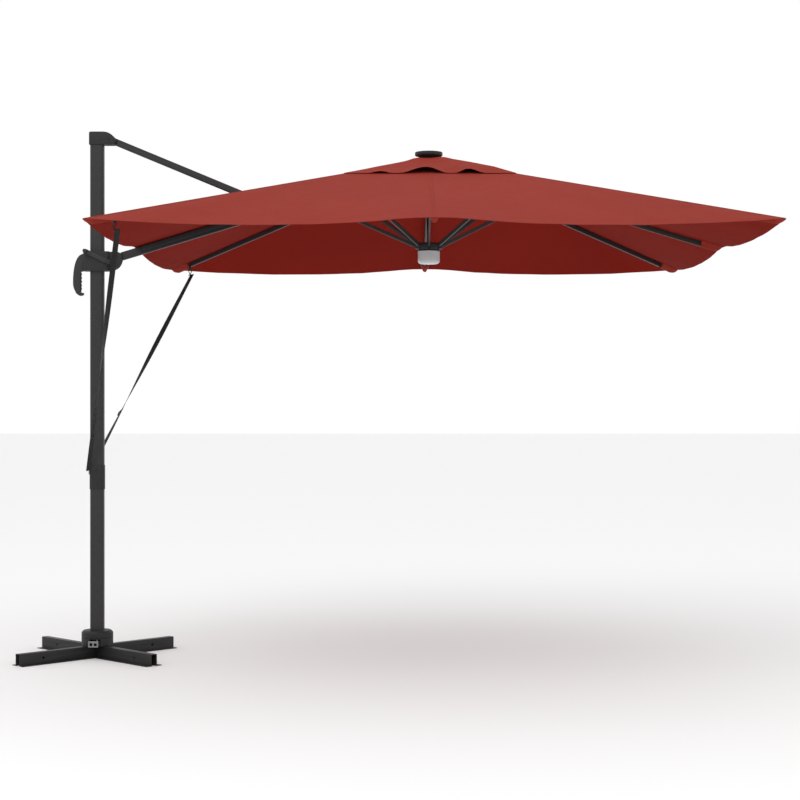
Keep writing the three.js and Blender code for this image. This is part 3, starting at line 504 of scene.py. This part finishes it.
def sector(name, rib, turns, height, half, inner, rows, materials, nodes, slot_cut=None):
    """One rib's share of a cloth: a thin closed shell between two azimuths, with a doubled hem; its downward
    faces take the darker underside copy of the cloth, which is painted shade.
    """
    shares = radial_shares(inner, half, rows)
    hem_from = 1 - HEM / half
    vertices, flat, upper_count = [], [], 0
    for upper in (True, False):
        for azimuth in turns:
            c, s = math.cos(azimuth), math.sin(azimuth)
            reach = half / max(abs(c), abs(s))
            for share in shares:
                x, y = c * reach * share, s * reach * share
                doubled = 0.0007 if share > hem_from else 0.0
                rim = 0.5 if share == 1.0 else 1.0
                lift = (CLOTH + doubled) * rim if upper else (1 - rim) * CLOTH - doubled * rim
                vertices.append(surface_point(height, x, y, lift))
                flat.append((x, y))
        upper_count = upper_count or len(vertices)
    rows_of = len(shares)
    columns = len(turns)
    faces = []
    for i in range(columns - 1):
        for j in range(rows_of - 1):
            a, b = i * rows_of + j, (i + 1) * rows_of + j
            faces.append((a, a + 1, b + 1, b))
            faces.append((a + upper_count, b + upper_count, b + 1 + upper_count, a + 1 + upper_count))
        for j in (0, rows_of - 1):
            a, b = i * rows_of + j, (i + 1) * rows_of + j
            faces.append((a, b, b + upper_count, a + upper_count))
    for i in (0, columns - 1):
        for j in range(rows_of - 1):
            a = i * rows_of + j
            faces.append((a, a + 1, a + 1 + upper_count, a + upper_count))
    # The second material is the darker underside copy of the canvas, painted shade.
    outside, inside = materials
    made = piece(name, vertices, faces, outside, None, extra=(inside,))
    write_uv(made, lambda index: flat[index])
    if slot_cut:
        cut_through(made, slot_cut)
    for polygon in made.data.polygons:
        # Faces that look down get the darker underside cloth, which is painted shade.
        polygon.material_index = 1 if polygon.normal.z < -0.2 else 0
    normals = []
    for vertex in made.data.vertices:
        x, y = vertex.co.x - CENTRE.x, vertex.co.y
        up = surface_normal(height, x, y)
        above = vertex.co.z - height(x, y) > CLOTH * 0.45
        normals.append(up if above else -up)
    made.data.normals_split_custom_set_from_vertices(normals)
    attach(made, f"rib_{rib}")
    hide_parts(*nodes)
    area = sum(p.area for p in made.data.polygons if p.material_index == 0 and p.normal.z > 0.2)
    return made, area


def cut_through(made, box):
    """Cuts a box-shaped opening through a piece."""
    (x0, x1), (y0, y1), (z0, z1) = box
    corners = [(x, y, z) for x in (x0, x1) for y in (y0, y1) for z in (z0, z1)]
    sides = [(0, 1, 3, 2), (4, 6, 7, 5), (0, 4, 5, 1), (2, 3, 7, 6), (0, 2, 6, 4), (1, 5, 7, 3)]
    mesh = bpy.data.meshes.new("cutter")
    mesh.from_pydata(corners, [], sides)
    cutter = bpy.data.objects.new("cutter", mesh)
    bpy.context.scene.collection.objects.link(cutter)
    opening = made.modifiers.new("opening", "BOOLEAN")
    opening.operation = "DIFFERENCE"
    opening.object = cutter
    opening.solver = "EXACT"
    graph = bpy.context.evaluated_depsgraph_get()
    result = bpy.data.meshes.new_from_object(made.evaluated_get(graph))
    made.modifiers.clear()
    made.data = result
    bpy.data.objects.remove(cutter)


def strip(name, path, half_wide, height, material, body, lift=CLOTH, thick=0.0009):
    """A flat tape sewn along a line on the cloth, on top or, with a negative thickness, below."""
    rings = []
    for i, (x, y) in enumerate(path):
        before, after = path[max(i - 1, 0)], path[min(i + 1, len(path) - 1)]
        run = Vector((after[0] - before[0], after[1] - before[1]))
        side = Vector((-run.y, run.x)).normalized()
        ring = []
        section = [(-1, 0.1), (-0.86, 1), (-0.4, 1), (0, 1), (0.4, 1), (0.86, 1), (1, 0.1), (0, -0.1)]
        for across, up in section:
            px, py = x + side.x * across * half_wide, y + side.y * across * half_wide
            ring.append(surface_point(height, px, py, lift + up * thick))
        rings.append(ring)
    vertices, faces = join_rings(rings)
    made = piece(name, vertices, faces, material, body)
    write_uv(made, lambda index: (made.data.vertices[index].co.x, made.data.vertices[index].co.y))
    return made


def stitched(name, paths, height, body, lift, pitch=0.011, long=0.007):
    """Rows of topstitching, each stitch a small raised thread."""
    parts = []
    for path in paths:
        spare = 0.0
        for (x0, y0), (x1, y1) in zip(path, path[1:]):
            run = math.hypot(x1 - x0, y1 - y0)
            ux, uy = (x1 - x0) / run, (y1 - y0) / run
            at = spare
            while at < run:
                x, y = x0 + ux * at, y0 + uy * at
                parts.append(stitch(x, y, ux, uy, height, lift, long))
                at += pitch
            spare = at - run
    vertices, faces = combined(parts)
    return piece(name, vertices, faces, THREAD, body)


def stitch(x, y, ux, uy, height, lift, long):
    half, wide, tall = long / 2, 0.0006, 0.0005 if lift > 0 else -0.0005
    ends = [surface_point(height, x + s * ux * half, y + s * uy * half, lift) for s in (-1, 1)]
    middle = surface_point(height, x, y, lift)
    side = Vector((-uy, ux, 0)) * wide
    up = Vector((0, 0, tall))
    vertices = [ends[0], ends[1], middle + side, middle - side, middle + up]
    return vertices, [(0, 2, 4), (2, 1, 4), (1, 3, 4), (3, 0, 4), (0, 3, 1, 2)]


def on_rib(azimuth, along, across=0.0):
    c, s = math.cos(azimuth), math.sin(azimuth)
    return c * along - s * across, s * along + c * across


def reach_of(azimuth, half=HALF):
    return half / max(abs(math.cos(azimuth)), abs(math.sin(azimuth)))


def pocket(name, azimuth, across, body):
    """The sewn pocket that holds a rib's end under the hem."""
    reach = reach_of(azimuth)
    corner = reach > HALF * 1.2
    start = reach - (0.165 if corner else 0.110)
    steps, columns = 14, 15
    rings = []
    for i in range(steps + 1):
        along = start + (reach - 0.004 - start) * i / steps
        share = i / steps
        half_wide = 0.030 * (1 - 0.25 * share)
        if corner:
            half_wide = min(half_wide, reach - along + 0.004)
        deep = POCKET_DEEP * (1 - max(0, (share - 0.62) / 0.38) ** 2) + 0.0025
        lower, upper = [], []
        for k in range(columns):
            u = -1 + 2 * k / (columns - 1)
            lateral = u * half_wide
            x, y = on_rib(azimuth, along, across + lateral)
            outside = max(0.0, (abs(lateral) - 0.006) / (half_wide - 0.006)) if half_wide > 0.007 else 1.0
            drop = deep * (1 - min(1, outside) ** 1.3) ** 1.5 + 0.0004
            lower.append(surface_point(cloth_height, x, y, -drop))
            upper.append(surface_point(cloth_height, x, y, 0.0002))
        rings.append(lower + upper[::-1])
    vertices, faces = join_rings(rings)
    made = piece(name, vertices, faces, HEM_CLOTH, body)
    write_uv(made, lambda index: (made.data.vertices[index].co.x, made.data.vertices[index].co.y))
    return made


# ---------------------------------------------------------------- canopy
def sector_turns(i, steps=16):
    """The azimuths of one rib's share, or of its two halves where the boom's slit splits it."""
    middle = i * EIGHTH
    all_turns = [middle + EIGHTH * (k / steps - 0.5) for k in range(steps + 1)]
    if i != MAST_SIDE:
        return [("", all_turns)]
    slit = 0.0012
    lower_half = all_turns[: steps // 2] + [middle - slit]
    upper_half = [middle + slit] + all_turns[steps // 2 + 1:]
    return [("_back", lower_half), ("_front", upper_half)]


def gather(made, rib, i):
    """Gives a piece of cloth its own mesh; an anchor towards its rib is worked out but not used, so the cloth
    is not drawn in as the canopy folds.
    """
    anchor = joint_at(f"rib_{rib}_hinge")
    if i == MAST_SIDE:
        lo, hi = made.bound_box[0], made.bound_box[6]
        side = 1 if lo[1] + hi[1] > 0 else -1
        anchor = Vector((anchor.x, side * 0.042, anchor.z))
    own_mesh(made)


def add_canopy():
    knee_low, knee_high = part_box("knee_pin")
    knee = (knee_low.x + knee_high.x) / 2
    slot_box = ((knee - 0.085, knee + 0.020), (-0.021, 0.021), (CORNER_TIP, APEX + 0.1))
    for i, rib in enumerate(RIB_NAMES):
        body = f"rib_{rib}"
        for suffix, turns in sector_turns(i):
            name = f"canopy_{rib}{suffix}"
            cut = slot_box if i == MAST_SIDE else None
            cloths = (CANVAS, SHADED_UNDERSIDE_CLOTH)
            made, area = sector(
                name, rib, turns, cloth_height, HALF, VENT_OPENING, 30, cloths, ["canopy_sheet"], cut
            )
            span = abs(reach_of(turns[0]) * math.sin(turns[0] - i * EIGHTH))
            span += abs(reach_of(turns[-1]) * math.sin(turns[-1] - i * EIGHTH))
            hem = hem_stitching(f"{name}_stitching", turns, body)
            gather(hem, rib, i)
            gather(made, rib, i)
        add_rib_seam(i, rib, body)
        add_pockets(i, rib, body)
    add_slot_binding(slot_box)


def hem_stitching(name, turns, body):
    paths = []
    for inset in (0.004, HEM - 0.004):
        path = []
        for azimuth in turns:
            reach = reach_of(azimuth) * (1 - inset / HALF)
            path.append((math.cos(azimuth) * reach, math.sin(azimuth) * reach))
        paths.append(path)
    return stitched(name, paths, cloth_height, body, CLOTH + 0.0007)


def add_rib_seam(i, rib, body):
    azimuth = i * EIGHTH
    reach = reach_of(azimuth)
    tracks = [0.0] if i != MAST_SIDE else [-0.016, 0.016]
    for n, across in enumerate(tracks):
        steps = [VENT_OPENING + (reach - 0.003 - VENT_OPENING) * k / 30 for k in range(31)]
        knee = CENTRE.x - (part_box("knee_pin")[0].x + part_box("knee_pin")[1].x) / 2
        if i == MAST_SIDE:
            steps = [s for s in steps if not knee - 0.06 < s < knee + 0.125]
            runs = [[s for s in steps if s < knee], [s for s in steps if s > knee]]
        else:
            runs = [steps]
        for m, run in enumerate(runs):
            name = f"seam_{rib}_{n}_{m}"
            path = [on_rib(azimuth, s, across) for s in run]
            strip(name, path, 0.008, cloth_height, HEM_CLOTH, body)
            rows = [[on_rib(azimuth, s, across + off) for s in run] for off in (-0.0055, 0.0055)]
            stitched(f"{name}_stitching", rows, cloth_height, body, CLOTH + 0.0009)


def add_pockets(i, rib, body):
    azimuth = i * EIGHTH
    if i == MAST_SIDE:
        add_rail_ends(body)
    else:
        pocket(f"rib_pocket_{rib}", azimuth, 0.0, body)


def add_rail_ends(body):
    """Black caps on the ends of the two rails beside the boom, just inside the hem."""
    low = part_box("rib_mast_side")[0]
    for name, side in (("front", -1), ("back", 1)):
        corners = []
        for vertex in frame["nodes"]["rib_mast_side"].data.vertices:
            if vertex.co.x < low.x + 0.012 and vertex.co.y * side > 0:
                corners.append(vertex.co)
        middle = sum(corners, Vector()) / len(corners)
        turn = Matrix.Rotation(-math.atan(BOOM_SLOPE), 4, "Y")
        section = rounded_box(0.0262, 0.0100, 0.002, 4)
        rings = []
        for along, scale in ((0.010, 0.98), (-0.0012, 1.0), (-0.0024, 0.92), (-0.0028, 0.6)):
            rings.append([middle + turn @ Vector((along, y * scale, x * scale)) for x, y in section])
        vertices, faces = join_rings(rings)
        piece(f"rail_cap_{name}", vertices, faces, PLASTIC, body)


def add_slot_binding(box):
    """The bound edge round the opening that the strut passes through."""
    (x0, x1), (y0, y1), _ = box
    left, right = x0 - CENTRE.x, x1 - CENTRE.x
    body = "rib_mast_side"
    edge = 0.007
    for name, x, start, end in (("binding_low", left, y0, y1), ("binding_high", right, y0, y1)):
        for half, (a, b) in (("back", (0.0025, end)), ("front", (start, -0.0025))):
            path = [(x + math.copysign(edge, x - (left + right) / 2), a + (b - a) * k / 4) for k in range(5)]
            strip(f"{name}_{half}", path, edge, cloth_height, HEM_CLOTH, body, thick=0.0012)
    for name, y in (("binding_front", y0 - edge), ("binding_back", y1 + edge)):
        path = [(left - 2 * edge + (right - left + 4 * edge) * k / 8, y) for k in range(9)]
        strip(name, path, edge, cloth_height, HEM_CLOTH, body, thick=0.0014)


def add_vent_cap():
    for i, rib in enumerate(RIB_NAMES):
        middle = i * EIGHTH
        turns = [middle + EIGHTH * (k / 18 - 0.5) for k in range(19)]
        name = f"vent_cap_{rib}"
        cloths = (CANVAS, SHADED_UNDERSIDE_CLOTH)
        made, area = sector(name, rib, turns, vent_height, VENT_HALF, VENT_INNER, 20, cloths, ["vent_cap"])
        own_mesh(made)


# ---------------------------------------------------------------- straps, hooks, rope
def twisted(low, high, wide, thick, start, turn, steps=72):
    """A flat webbing between two points, twisting along its length."""
    along = (high - low).normalized()
    level = along.cross(Vector((0, 0, 1))).normalized()
    up = level.cross(along)
    rings, path = [], []
    section = rounded_box(wide, thick, thick * 0.45, 2)
    for i in range(steps + 1):
        share = i / steps
        eased = share * share * (3 - 2 * share)
        angle = start + turn * eased
        point = low.lerp(high, share)
        side = level * math.cos(angle) + up * math.sin(angle)
        face = along.cross(side)
        rings.append([point + side * x + face * y for x, y in section])
        path.append(point)
    vertices, faces = join_rings(rings)
    return vertices, faces, path, len(section)


def add_straps():
    for name, side in (("front", -1), ("back", 1)):
        node = f"strap_{name}"
        vertices_of = frame["nodes"][node].data.vertices
        low = joint_at(f"{node}_swing")
        farthest = sorted((v.co for v in vertices_of), key=lambda v: (v - low).length)[-4:]
        high = sum(farthest, Vector()) / 4
        length = (high - low).length
        turn = math.pi * 0.98
        start = math.radians(STRAP_START * side)
        vertices, faces, path, count = twisted(low, high, STRAP_WIDE, STRAP_THICK, start, turn * side)
        made = piece(f"{node}_webbing", vertices, faces, WEBBING, node)
        write_uv(made, lambda index: ((index % count) * 0.003, index // count * length / 72))
        along = (high - low).normalized()
        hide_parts(node)
        buckle = add_buckle(name, low, along, side, turn, length)
        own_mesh(made)
        add_hook(name)


def add_buckle(name, low, along, side, turn, length):
    """A ladder-lock slider: two side bars and three cross bars round the webbing."""
    node = f"buckle_{name}"
    lo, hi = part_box(node)
    centre = (lo + hi) / 2
    share = (centre - low).length / length
    angle = math.radians(STRAP_START * side) + turn * side * share * share * (3 - 2 * share)
    level = along.cross(Vector((0, 0, 1))).normalized()
    up = level.cross(along)
    across = level * math.cos(angle) + up * math.sin(angle)
    face = along.cross(across)
    parts = []
    for s in (-1, 1):
        edge = centre + across * s * 0.016
        parts.append(tube_on([edge - along * 0.015, edge, edge + along * 0.015], 0.0028))
    for s, lift in ((-1, 0.0026), (0, -0.0030), (1, 0.0026)):
        bar = centre + along * s * 0.0135 + face * lift
        parts.append(tube_on([bar - across * 0.0165, bar, bar + across * 0.0165], 0.0021))
    vertices, faces = combined(parts)
    made = piece(f"{node}_frame", vertices, faces, BLACK_PAINT, f"strap_{name}")
    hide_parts(node)
    return made


def add_hook(name):
    """A snap hook through the rib's eye, with a swivel and a bar for the webbing."""
    node = f"hook_{name}"
    lo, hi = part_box(node)
    centre = (lo + hi) / 2
    azimuth = EIGHTH * (5 if name == "front" else 3)
    out = Vector((math.cos(azimuth), math.sin(azimuth), 0))
    across = Vector((-math.sin(azimuth), math.cos(azimuth), 0))
    loop = []
    for k in range(32):
        angle = 2 * math.pi * k / 32
        loop.append(centre + across * 0.010 * math.cos(angle) + Vector((0, 0, 0.0135 * math.sin(angle))))
    parts = [tube_on(loop, 0.0022, 10, closed=True)]
    foot = Vector((centre.x, centre.y, lo.z))
    swivel = [(0.0005, -0.008), (0.004, -0.008), (0.0045, -0.004), (0.0032, 0.002), (0.0005, 0.003)]
    parts.append(turned(swivel, foot, sides=20))
    bar = Vector((foot.x, foot.y, foot.z - 0.009))
    parts.append(tube_on([bar - out * 0.015, bar, bar + out * 0.015], 0.002))
    vertices, faces = combined(parts)
    made = piece(f"{node}_snap", vertices, faces, BLACK_PAINT, frame["nodes"][node]["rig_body"])
    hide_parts(node)


def add_rope():
    """The lifting cord: along inside the boom, over the pulley and down to the runner."""
    node = "lift_rope"
    pulley = joint_at("pulley_spin")
    rise = math.atan(BOOM_SLOPE)
    radius = ROPE_TURN
    up = Vector((-math.sin(rise), 0, math.cos(rise)))
    along = Vector((math.cos(rise), 0, math.sin(rise)))
    leave = pulley + up * radius
    start = leave - along * ROPE_IN_BOOM
    path = [start + (leave - start) * k / 12 for k in range(12)]
    first = math.pi / 2 + rise
    for k in range(9):
        angle = first * (1 - k / 8)
        path.append(pulley + Vector((math.cos(angle), 0, math.sin(angle))) * radius)
    top = path[-1].copy()
    runner_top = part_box("runner_hub")[1].z
    drop = top.z - runner_top
    hanging = [Vector((top.x, 0, top.z - drop * k / 16)) for k in range(17)]
    for name, line in (("lift_rope_in_boom", path), ("lift_rope_cord", hanging)):
        vertices, faces = tube_on(line, ROPE_THICK / 2, ROPE_SIDES)
        made = piece(name, vertices, faces, ROPE, "boom" if line is path else None)
        write_uv(made, lambda index: ((index % ROPE_SIDES) * 0.0016, index // ROPE_SIDES * 0.02))
        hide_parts(node)
        if line is hanging:
            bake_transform(made)


# ---------------------------------------------------------------- hard parts
def tube_between(name, node, material, outline_out, outline_in, matrix, start, end, body=None):
    """A hollow section along a local axis, both ends open."""
    rings = []
    for outline, z in ((outline_out, start), (outline_out, end), (outline_in, end), (outline_in, start)):
        rings.append([matrix @ Vector((x, y, z)) for x, y in outline])
    rings.append(rings[0])
    vertices, faces = join_rings(rings, closed_ends=False)
    mesh_object = piece(name, vertices, faces, material, body or frame["nodes"][node]["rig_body"])
    weld(mesh_object)
    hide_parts(node)
    return mesh_object


def weld(made):
    work = bmesh.new()
    work.from_mesh(made.data)
    bmesh.ops.remove_doubles(work, verts=work.verts, dist=1e-7)
    bmesh.ops.recalc_face_normals(work, faces=work.faces)
    work.to_mesh(made.data)
    work.free()
    made.data.shade_smooth()
    made.data.set_sharp_from_angle(angle=math.radians(35))


def add_mast():
    for node in ("mast_lower", "mast_upper"):
        lo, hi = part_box(node)
        wide, deep = hi.x - lo.x, hi.y - lo.y
        outside = rounded_box(wide, deep, 0.014, 10)
        inside = rounded_box(wide - 0.004, deep - 0.004, 0.012, 10)
        tube_between(f"{node}_fine", node, PAINT, outside, inside, Matrix.Identity(4), lo.z, hi.z)
    refined("mast_collar", PLASTIC, 0.0022)
    refined("turn_bearing", PLASTIC, 0.0005)
    refined("strap_anchor", STEEL, 0.0008)
    refined("top_cap", PLASTIC, 0.004, 4)
    refined("strut_pin", BLACK_PAINT, 0.0006)
    refined("turn_bell", PLASTIC, 0.003, 4, sharp=25)
    collar_low, collar_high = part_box("mast_collar")
    for k, z in enumerate((0.2, 0.8)):
        at = Vector((0, collar_low.y, collar_low.z + (collar_high.z - collar_low.z) * z))
        screw(f"collar_screw_{k}", at, Vector((0, -1, 0)), 0.0045, "mast")
    cap_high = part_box("top_cap")[1]
    pin = joint_at("strut_swing")
    for side in (-1, 1):
        at = Vector((pin.x, side * cap_high.y, pin.z))
        screw(f"cap_bolt_{'front' if side < 0 else 'back'}", at, Vector((0, side, 0)), 0.0065, "mast")


def add_slider():
    refined("slider_body", PLASTIC, 0.0035, 4, sharp=25)
    refined("grip_handle", GRIP_PLASTIC, 0.0045, 4, sharp=25)
    refined("brake_lever", PLASTIC, 0.0016, 3, sharp=20)
    refined("brake_shoe", BLACK_PAINT, 0.0006)
    refined("boom_pin", BLACK_PAINT, 0.0006)
    refined("crank_arm", GRIP_PLASTIC, 0.0022, 4)
    refined("rope_drum", BLACK_PAINT, 0.001)
    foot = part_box("slider_body")[0].z
    for k, (x, z) in enumerate(((-0.052, 0.014), (-0.052, 0.084), (0.040, 0.084))):
        screw(f"slider_screw_{k}", Vector((x, -0.042, foot + z)), Vector((0, -1, 0)), 0.004, "slider")
    hub = joint_at("crank_turn")
    ring = [(0.003, 0), (0.0125, 0), (0.0135, 0.001), (0.0135, 0.002)]
    ring += [(0.012, 0.0035), (0.006, 0.0042), (0.0005, 0.0042)]
    crank_face = Vector((hub.x, -0.054, hub.z))
    vertices, faces = turned(ring, crank_face, Vector((0, -1, 0)), 40)
    piece("crank_hub_cap", vertices, faces, PLASTIC, "crank")
    add_knob()


def add_knob():
    """The crank's turning knob, a fluted barrel with a domed end."""
    lo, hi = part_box("crank_knob")
    centre = Vector(((lo.x + hi.x) / 2, hi.y, (lo.z + hi.z) / 2))
    radius, long = (hi.x - lo.x) / 2, hi.y - lo.y
    profile = [(0.0042, 0.0), (0.85, 0.0), (1.0, 0.06), (1.0, 0.14), (0.9, 0.2), (0.88, 0.5)]
    profile += [(0.92, 0.75), (1.0, 0.86), (0.97, 0.94), (0.8, 0.985), (0.4, 1.0), (0.02, 1.0)]
    rings = []
    sides = 48
    for share, height in profile:
        ring = []
        for k in range(sides):
            angle = 2 * math.pi * k / sides
            flute = 1 - (0.06 * max(0, math.cos(8 * angle)) if 0.15 < height < 0.85 else 0)
            r = radius * share * flute if share > 0.01 else share
            ring.append(centre + Vector((r * math.cos(angle), -height * long, r * math.sin(angle))))
        rings.append(ring)
    vertices, faces = join_rings(rings)
    made = piece("crank_knob_fine", vertices, faces, GRIP_PLASTIC, "knob")
    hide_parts("crank_knob")


def add_boom():
    refined("boom_tube", PAINT, 0.0008, 2)
    refined("boom_foot", BLACK_PAINT, 0.001)
    refined("knee_pin", BLACK_PAINT, 0.0007)
    refined("strut", PAINT, 0.0009, 3)
    refined("crown_hub", PLASTIC, 0.0016)
    refined("rope_pulley", STEEL, 0.0004)


def add_ribs():
    for rib in RIB_NAMES:
        refined(f"rib_{rib}", PAINT, 0.0011)
        refined(f"stretcher_{rib}", ALLOY, 0.0009)
        add_stretcher_rivet(rib)


def add_stretcher_rivet(rib):
    """The pin's two rivet heads at the stretcher's hinge."""
    at = joint_at(f"stretcher_{rib}_hinge")
    axis = joint_axis(f"stretcher_{rib}_hinge")
    parts = []
    for side in (-1, 1):
        head = [(0.0035, -0.0004), (0.0042, 0.0), (0.0040, 0.0008), (0.0026, 0.0016), (0.0003, 0.0019)]
        parts.append(turned(head, at + axis * side * 0.0057, axis * side, 20))
    vertices, faces = combined(parts)
    piece(f"stretcher_rivet_{rib}", vertices, faces, STEEL, f"stretcher_{rib}")


def add_finial():
    """The lamp-charging disc: a shallow bowl with a rim round the solar cells."""
    low, high = FINIAL_FOOT, FINIAL_HIGH.z
    foot = [(0.0180, FINIAL_LOW.z), (0.0180, low + 0.004), (0.0380, low + 0.001), (0.0420, low)]
    bowl = [(0.0432, low + 0.0015), (0.0560, low + 0.0065), (0.0675, low + 0.0105), (0.0675, low + 0.0118)]
    rim = [(0.0698, high - 0.0170), (0.0705, high - 0.0160), (0.0705, high - 0.0025), (0.0698, high - 0.0008)]
    rim += [(0.0682, high), (0.0650, high), (0.0625, high - 0.0015)]
    top = [(0.0623, high - 0.0030), (0.0005, high - 0.0030)]
    vertices, faces = turned(foot + bowl + rim + top, CENTRE, sides=96)
    made = piece("finial_bowl", vertices, faces, PLASTIC, "boom", sharp=math.radians(40))
    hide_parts("finial")
    glass = [(0.0610, -0.0028), (0.0618, -0.0024), (0.0618, 0.0)]
    glass += [(0.0610, 0.0006), (0.0300, 0.0010), (0.0005, 0.0011)]
    panel = [(radius, high + up) for radius, up in glass]
    vertices, faces = turned(panel, CENTRE, sides=96)
    cells = piece("solar_disc", vertices, faces, CELLS, "boom")
    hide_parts("solar_panel")


def add_light():
    """The lower hub's lamp: a housing ring and a milky dome with a flat face and round shoulders."""
    refined("runner_hub", PLASTIC, 0.0016, 3, sharp=25)
    refined("led_housing", PLASTIC, 0.0012, 3, sharp=25)
    lo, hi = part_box("led_lens")
    radius, round_ = (hi.x - lo.x) / 2, 0.018
    dome = [(0.0005, lo.z), (0.030, lo.z + 0.0003)]
    for k in range(13):
        angle = math.pi / 2 * k / 12
        up = lo.z + round_ + 0.0005 - round_ * math.cos(angle)
        dome.append((radius - round_ + round_ * math.sin(angle), up))
    groove = radius - 0.0008
    dome += [(radius, hi.z - 0.012), (groove, hi.z - 0.0115), (groove, hi.z - 0.010), (radius, hi.z - 0.0095)]
    dome += [(radius, hi.z), (0.0005, hi.z)]
    vertices, faces = turned(dome, CENTRE, sides=96)
    lens = piece("led_dome", vertices, faces, DIFFUSER, "runner", sharp=math.radians(50))
    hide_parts("led_lens")


def add_base():
    for node in ("base_bar_lower", "base_bar_upper"):
        refined(node, BLACK_PAINT, 0.0012, 3)
    refined("clamp_plate", BLACK_PAINT, 0.0005)
    refined("swivel_flange", BLACK_PAINT, 0.001)
    refined("turn_spindle", STEEL, 0.001)
    refined("hub_cover", PLASTIC, 0.0015, 3)
    refined("turn_lock_bolt", STEEL, 0.0008)
    refined("foot_pedal", WORN_STEEL, 0.0012, 3)
    bolt_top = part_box("swivel_flange")[1].z
    for k in range(4):
        angle = math.pi / 4 + k * math.pi / 2
        at = Vector((0.052 * math.cos(angle), 0.052 * math.sin(angle), bolt_top))
        head = [(0.0075, -0.0005), (0.0075, 0.0045), (0.0065, 0.0055), (0.0003, 0.0055)]
        vertices, faces = turned(head, at, sides=6)
        piece(f"flange_bolt_{k}", vertices, faces, STEEL, "base", sharp=math.radians(20))


# ---------------------------------------------------------------- stage
def add_stage():
    floor_mesh = bpy.data.meshes.new("floor")
    half = 60
    corners = [(-half, -half, 0), (half, -half, 0), (half, half, 0), (-half, half, 0)]
    floor_mesh.from_pydata(corners, [], [(0, 1, 2, 3)])
    floor = bpy.data.objects.new("floor", floor_mesh)
    bpy.context.scene.collection.objects.link(floor)
    pale = bpy.data.materials.new("pale_floor")
    pale.use_nodes = True
    pale.node_tree.nodes["Principled BSDF"].inputs["Base Color"].default_value = (0.90, 0.90, 0.90, 1)
    pale.node_tree.nodes["Principled BSDF"].inputs["Roughness"].default_value = 0.8
    floor_mesh.materials.append(pale)
    world = bpy.data.worlds.new("studio")
    world.use_nodes = True
    world.node_tree.nodes["Background"].inputs["Color"].default_value = (1, 1, 1, 1)
    world.node_tree.nodes["Background"].inputs["Strength"].default_value = 1.0
    bpy.context.scene.world = world
    bpy.context.scene.view_settings.view_transform = "Standard"
    add_lamp("key", (-1.5, -5.5, 7.5), (1.4, 0, 1.2), 5.0, 150)
    add_lamp("fill", (7.5, -4.5, 3.5), (1.7, 0, 1.6), 5.0, 40)


def add_lamp(name, at, target, size, power):
    data = bpy.data.lights.new(name, "AREA")
    data.shape = "DISK"
    data.size = size
    data.energy = power
    lamp = bpy.data.objects.new(name, data)
    lamp.location = at
    lamp.rotation_euler = (Vector(target) - Vector(at)).to_track_quat("-Z", "Y").to_euler()
    bpy.context.scene.collection.objects.link(lamp)


def add_camera():
    data = bpy.data.cameras.new("camera")
    data.lens = 80
    data.sensor_width = 36
    camera = bpy.data.objects.new("camera", data)
    camera.location = (1.546, -9.083, 1.31)
    camera.rotation_euler = (math.pi / 2, 0, 0)
    data.clip_end = 200
    bpy.context.scene.collection.objects.link(camera)
    bpy.context.scene.camera = camera


add_camera()
add_stage()
add_base()
add_mast()
add_slider()
add_boom()
add_ribs()
add_finial()
add_light()
add_canopy()
add_vent_cap()
add_rope()
add_straps()
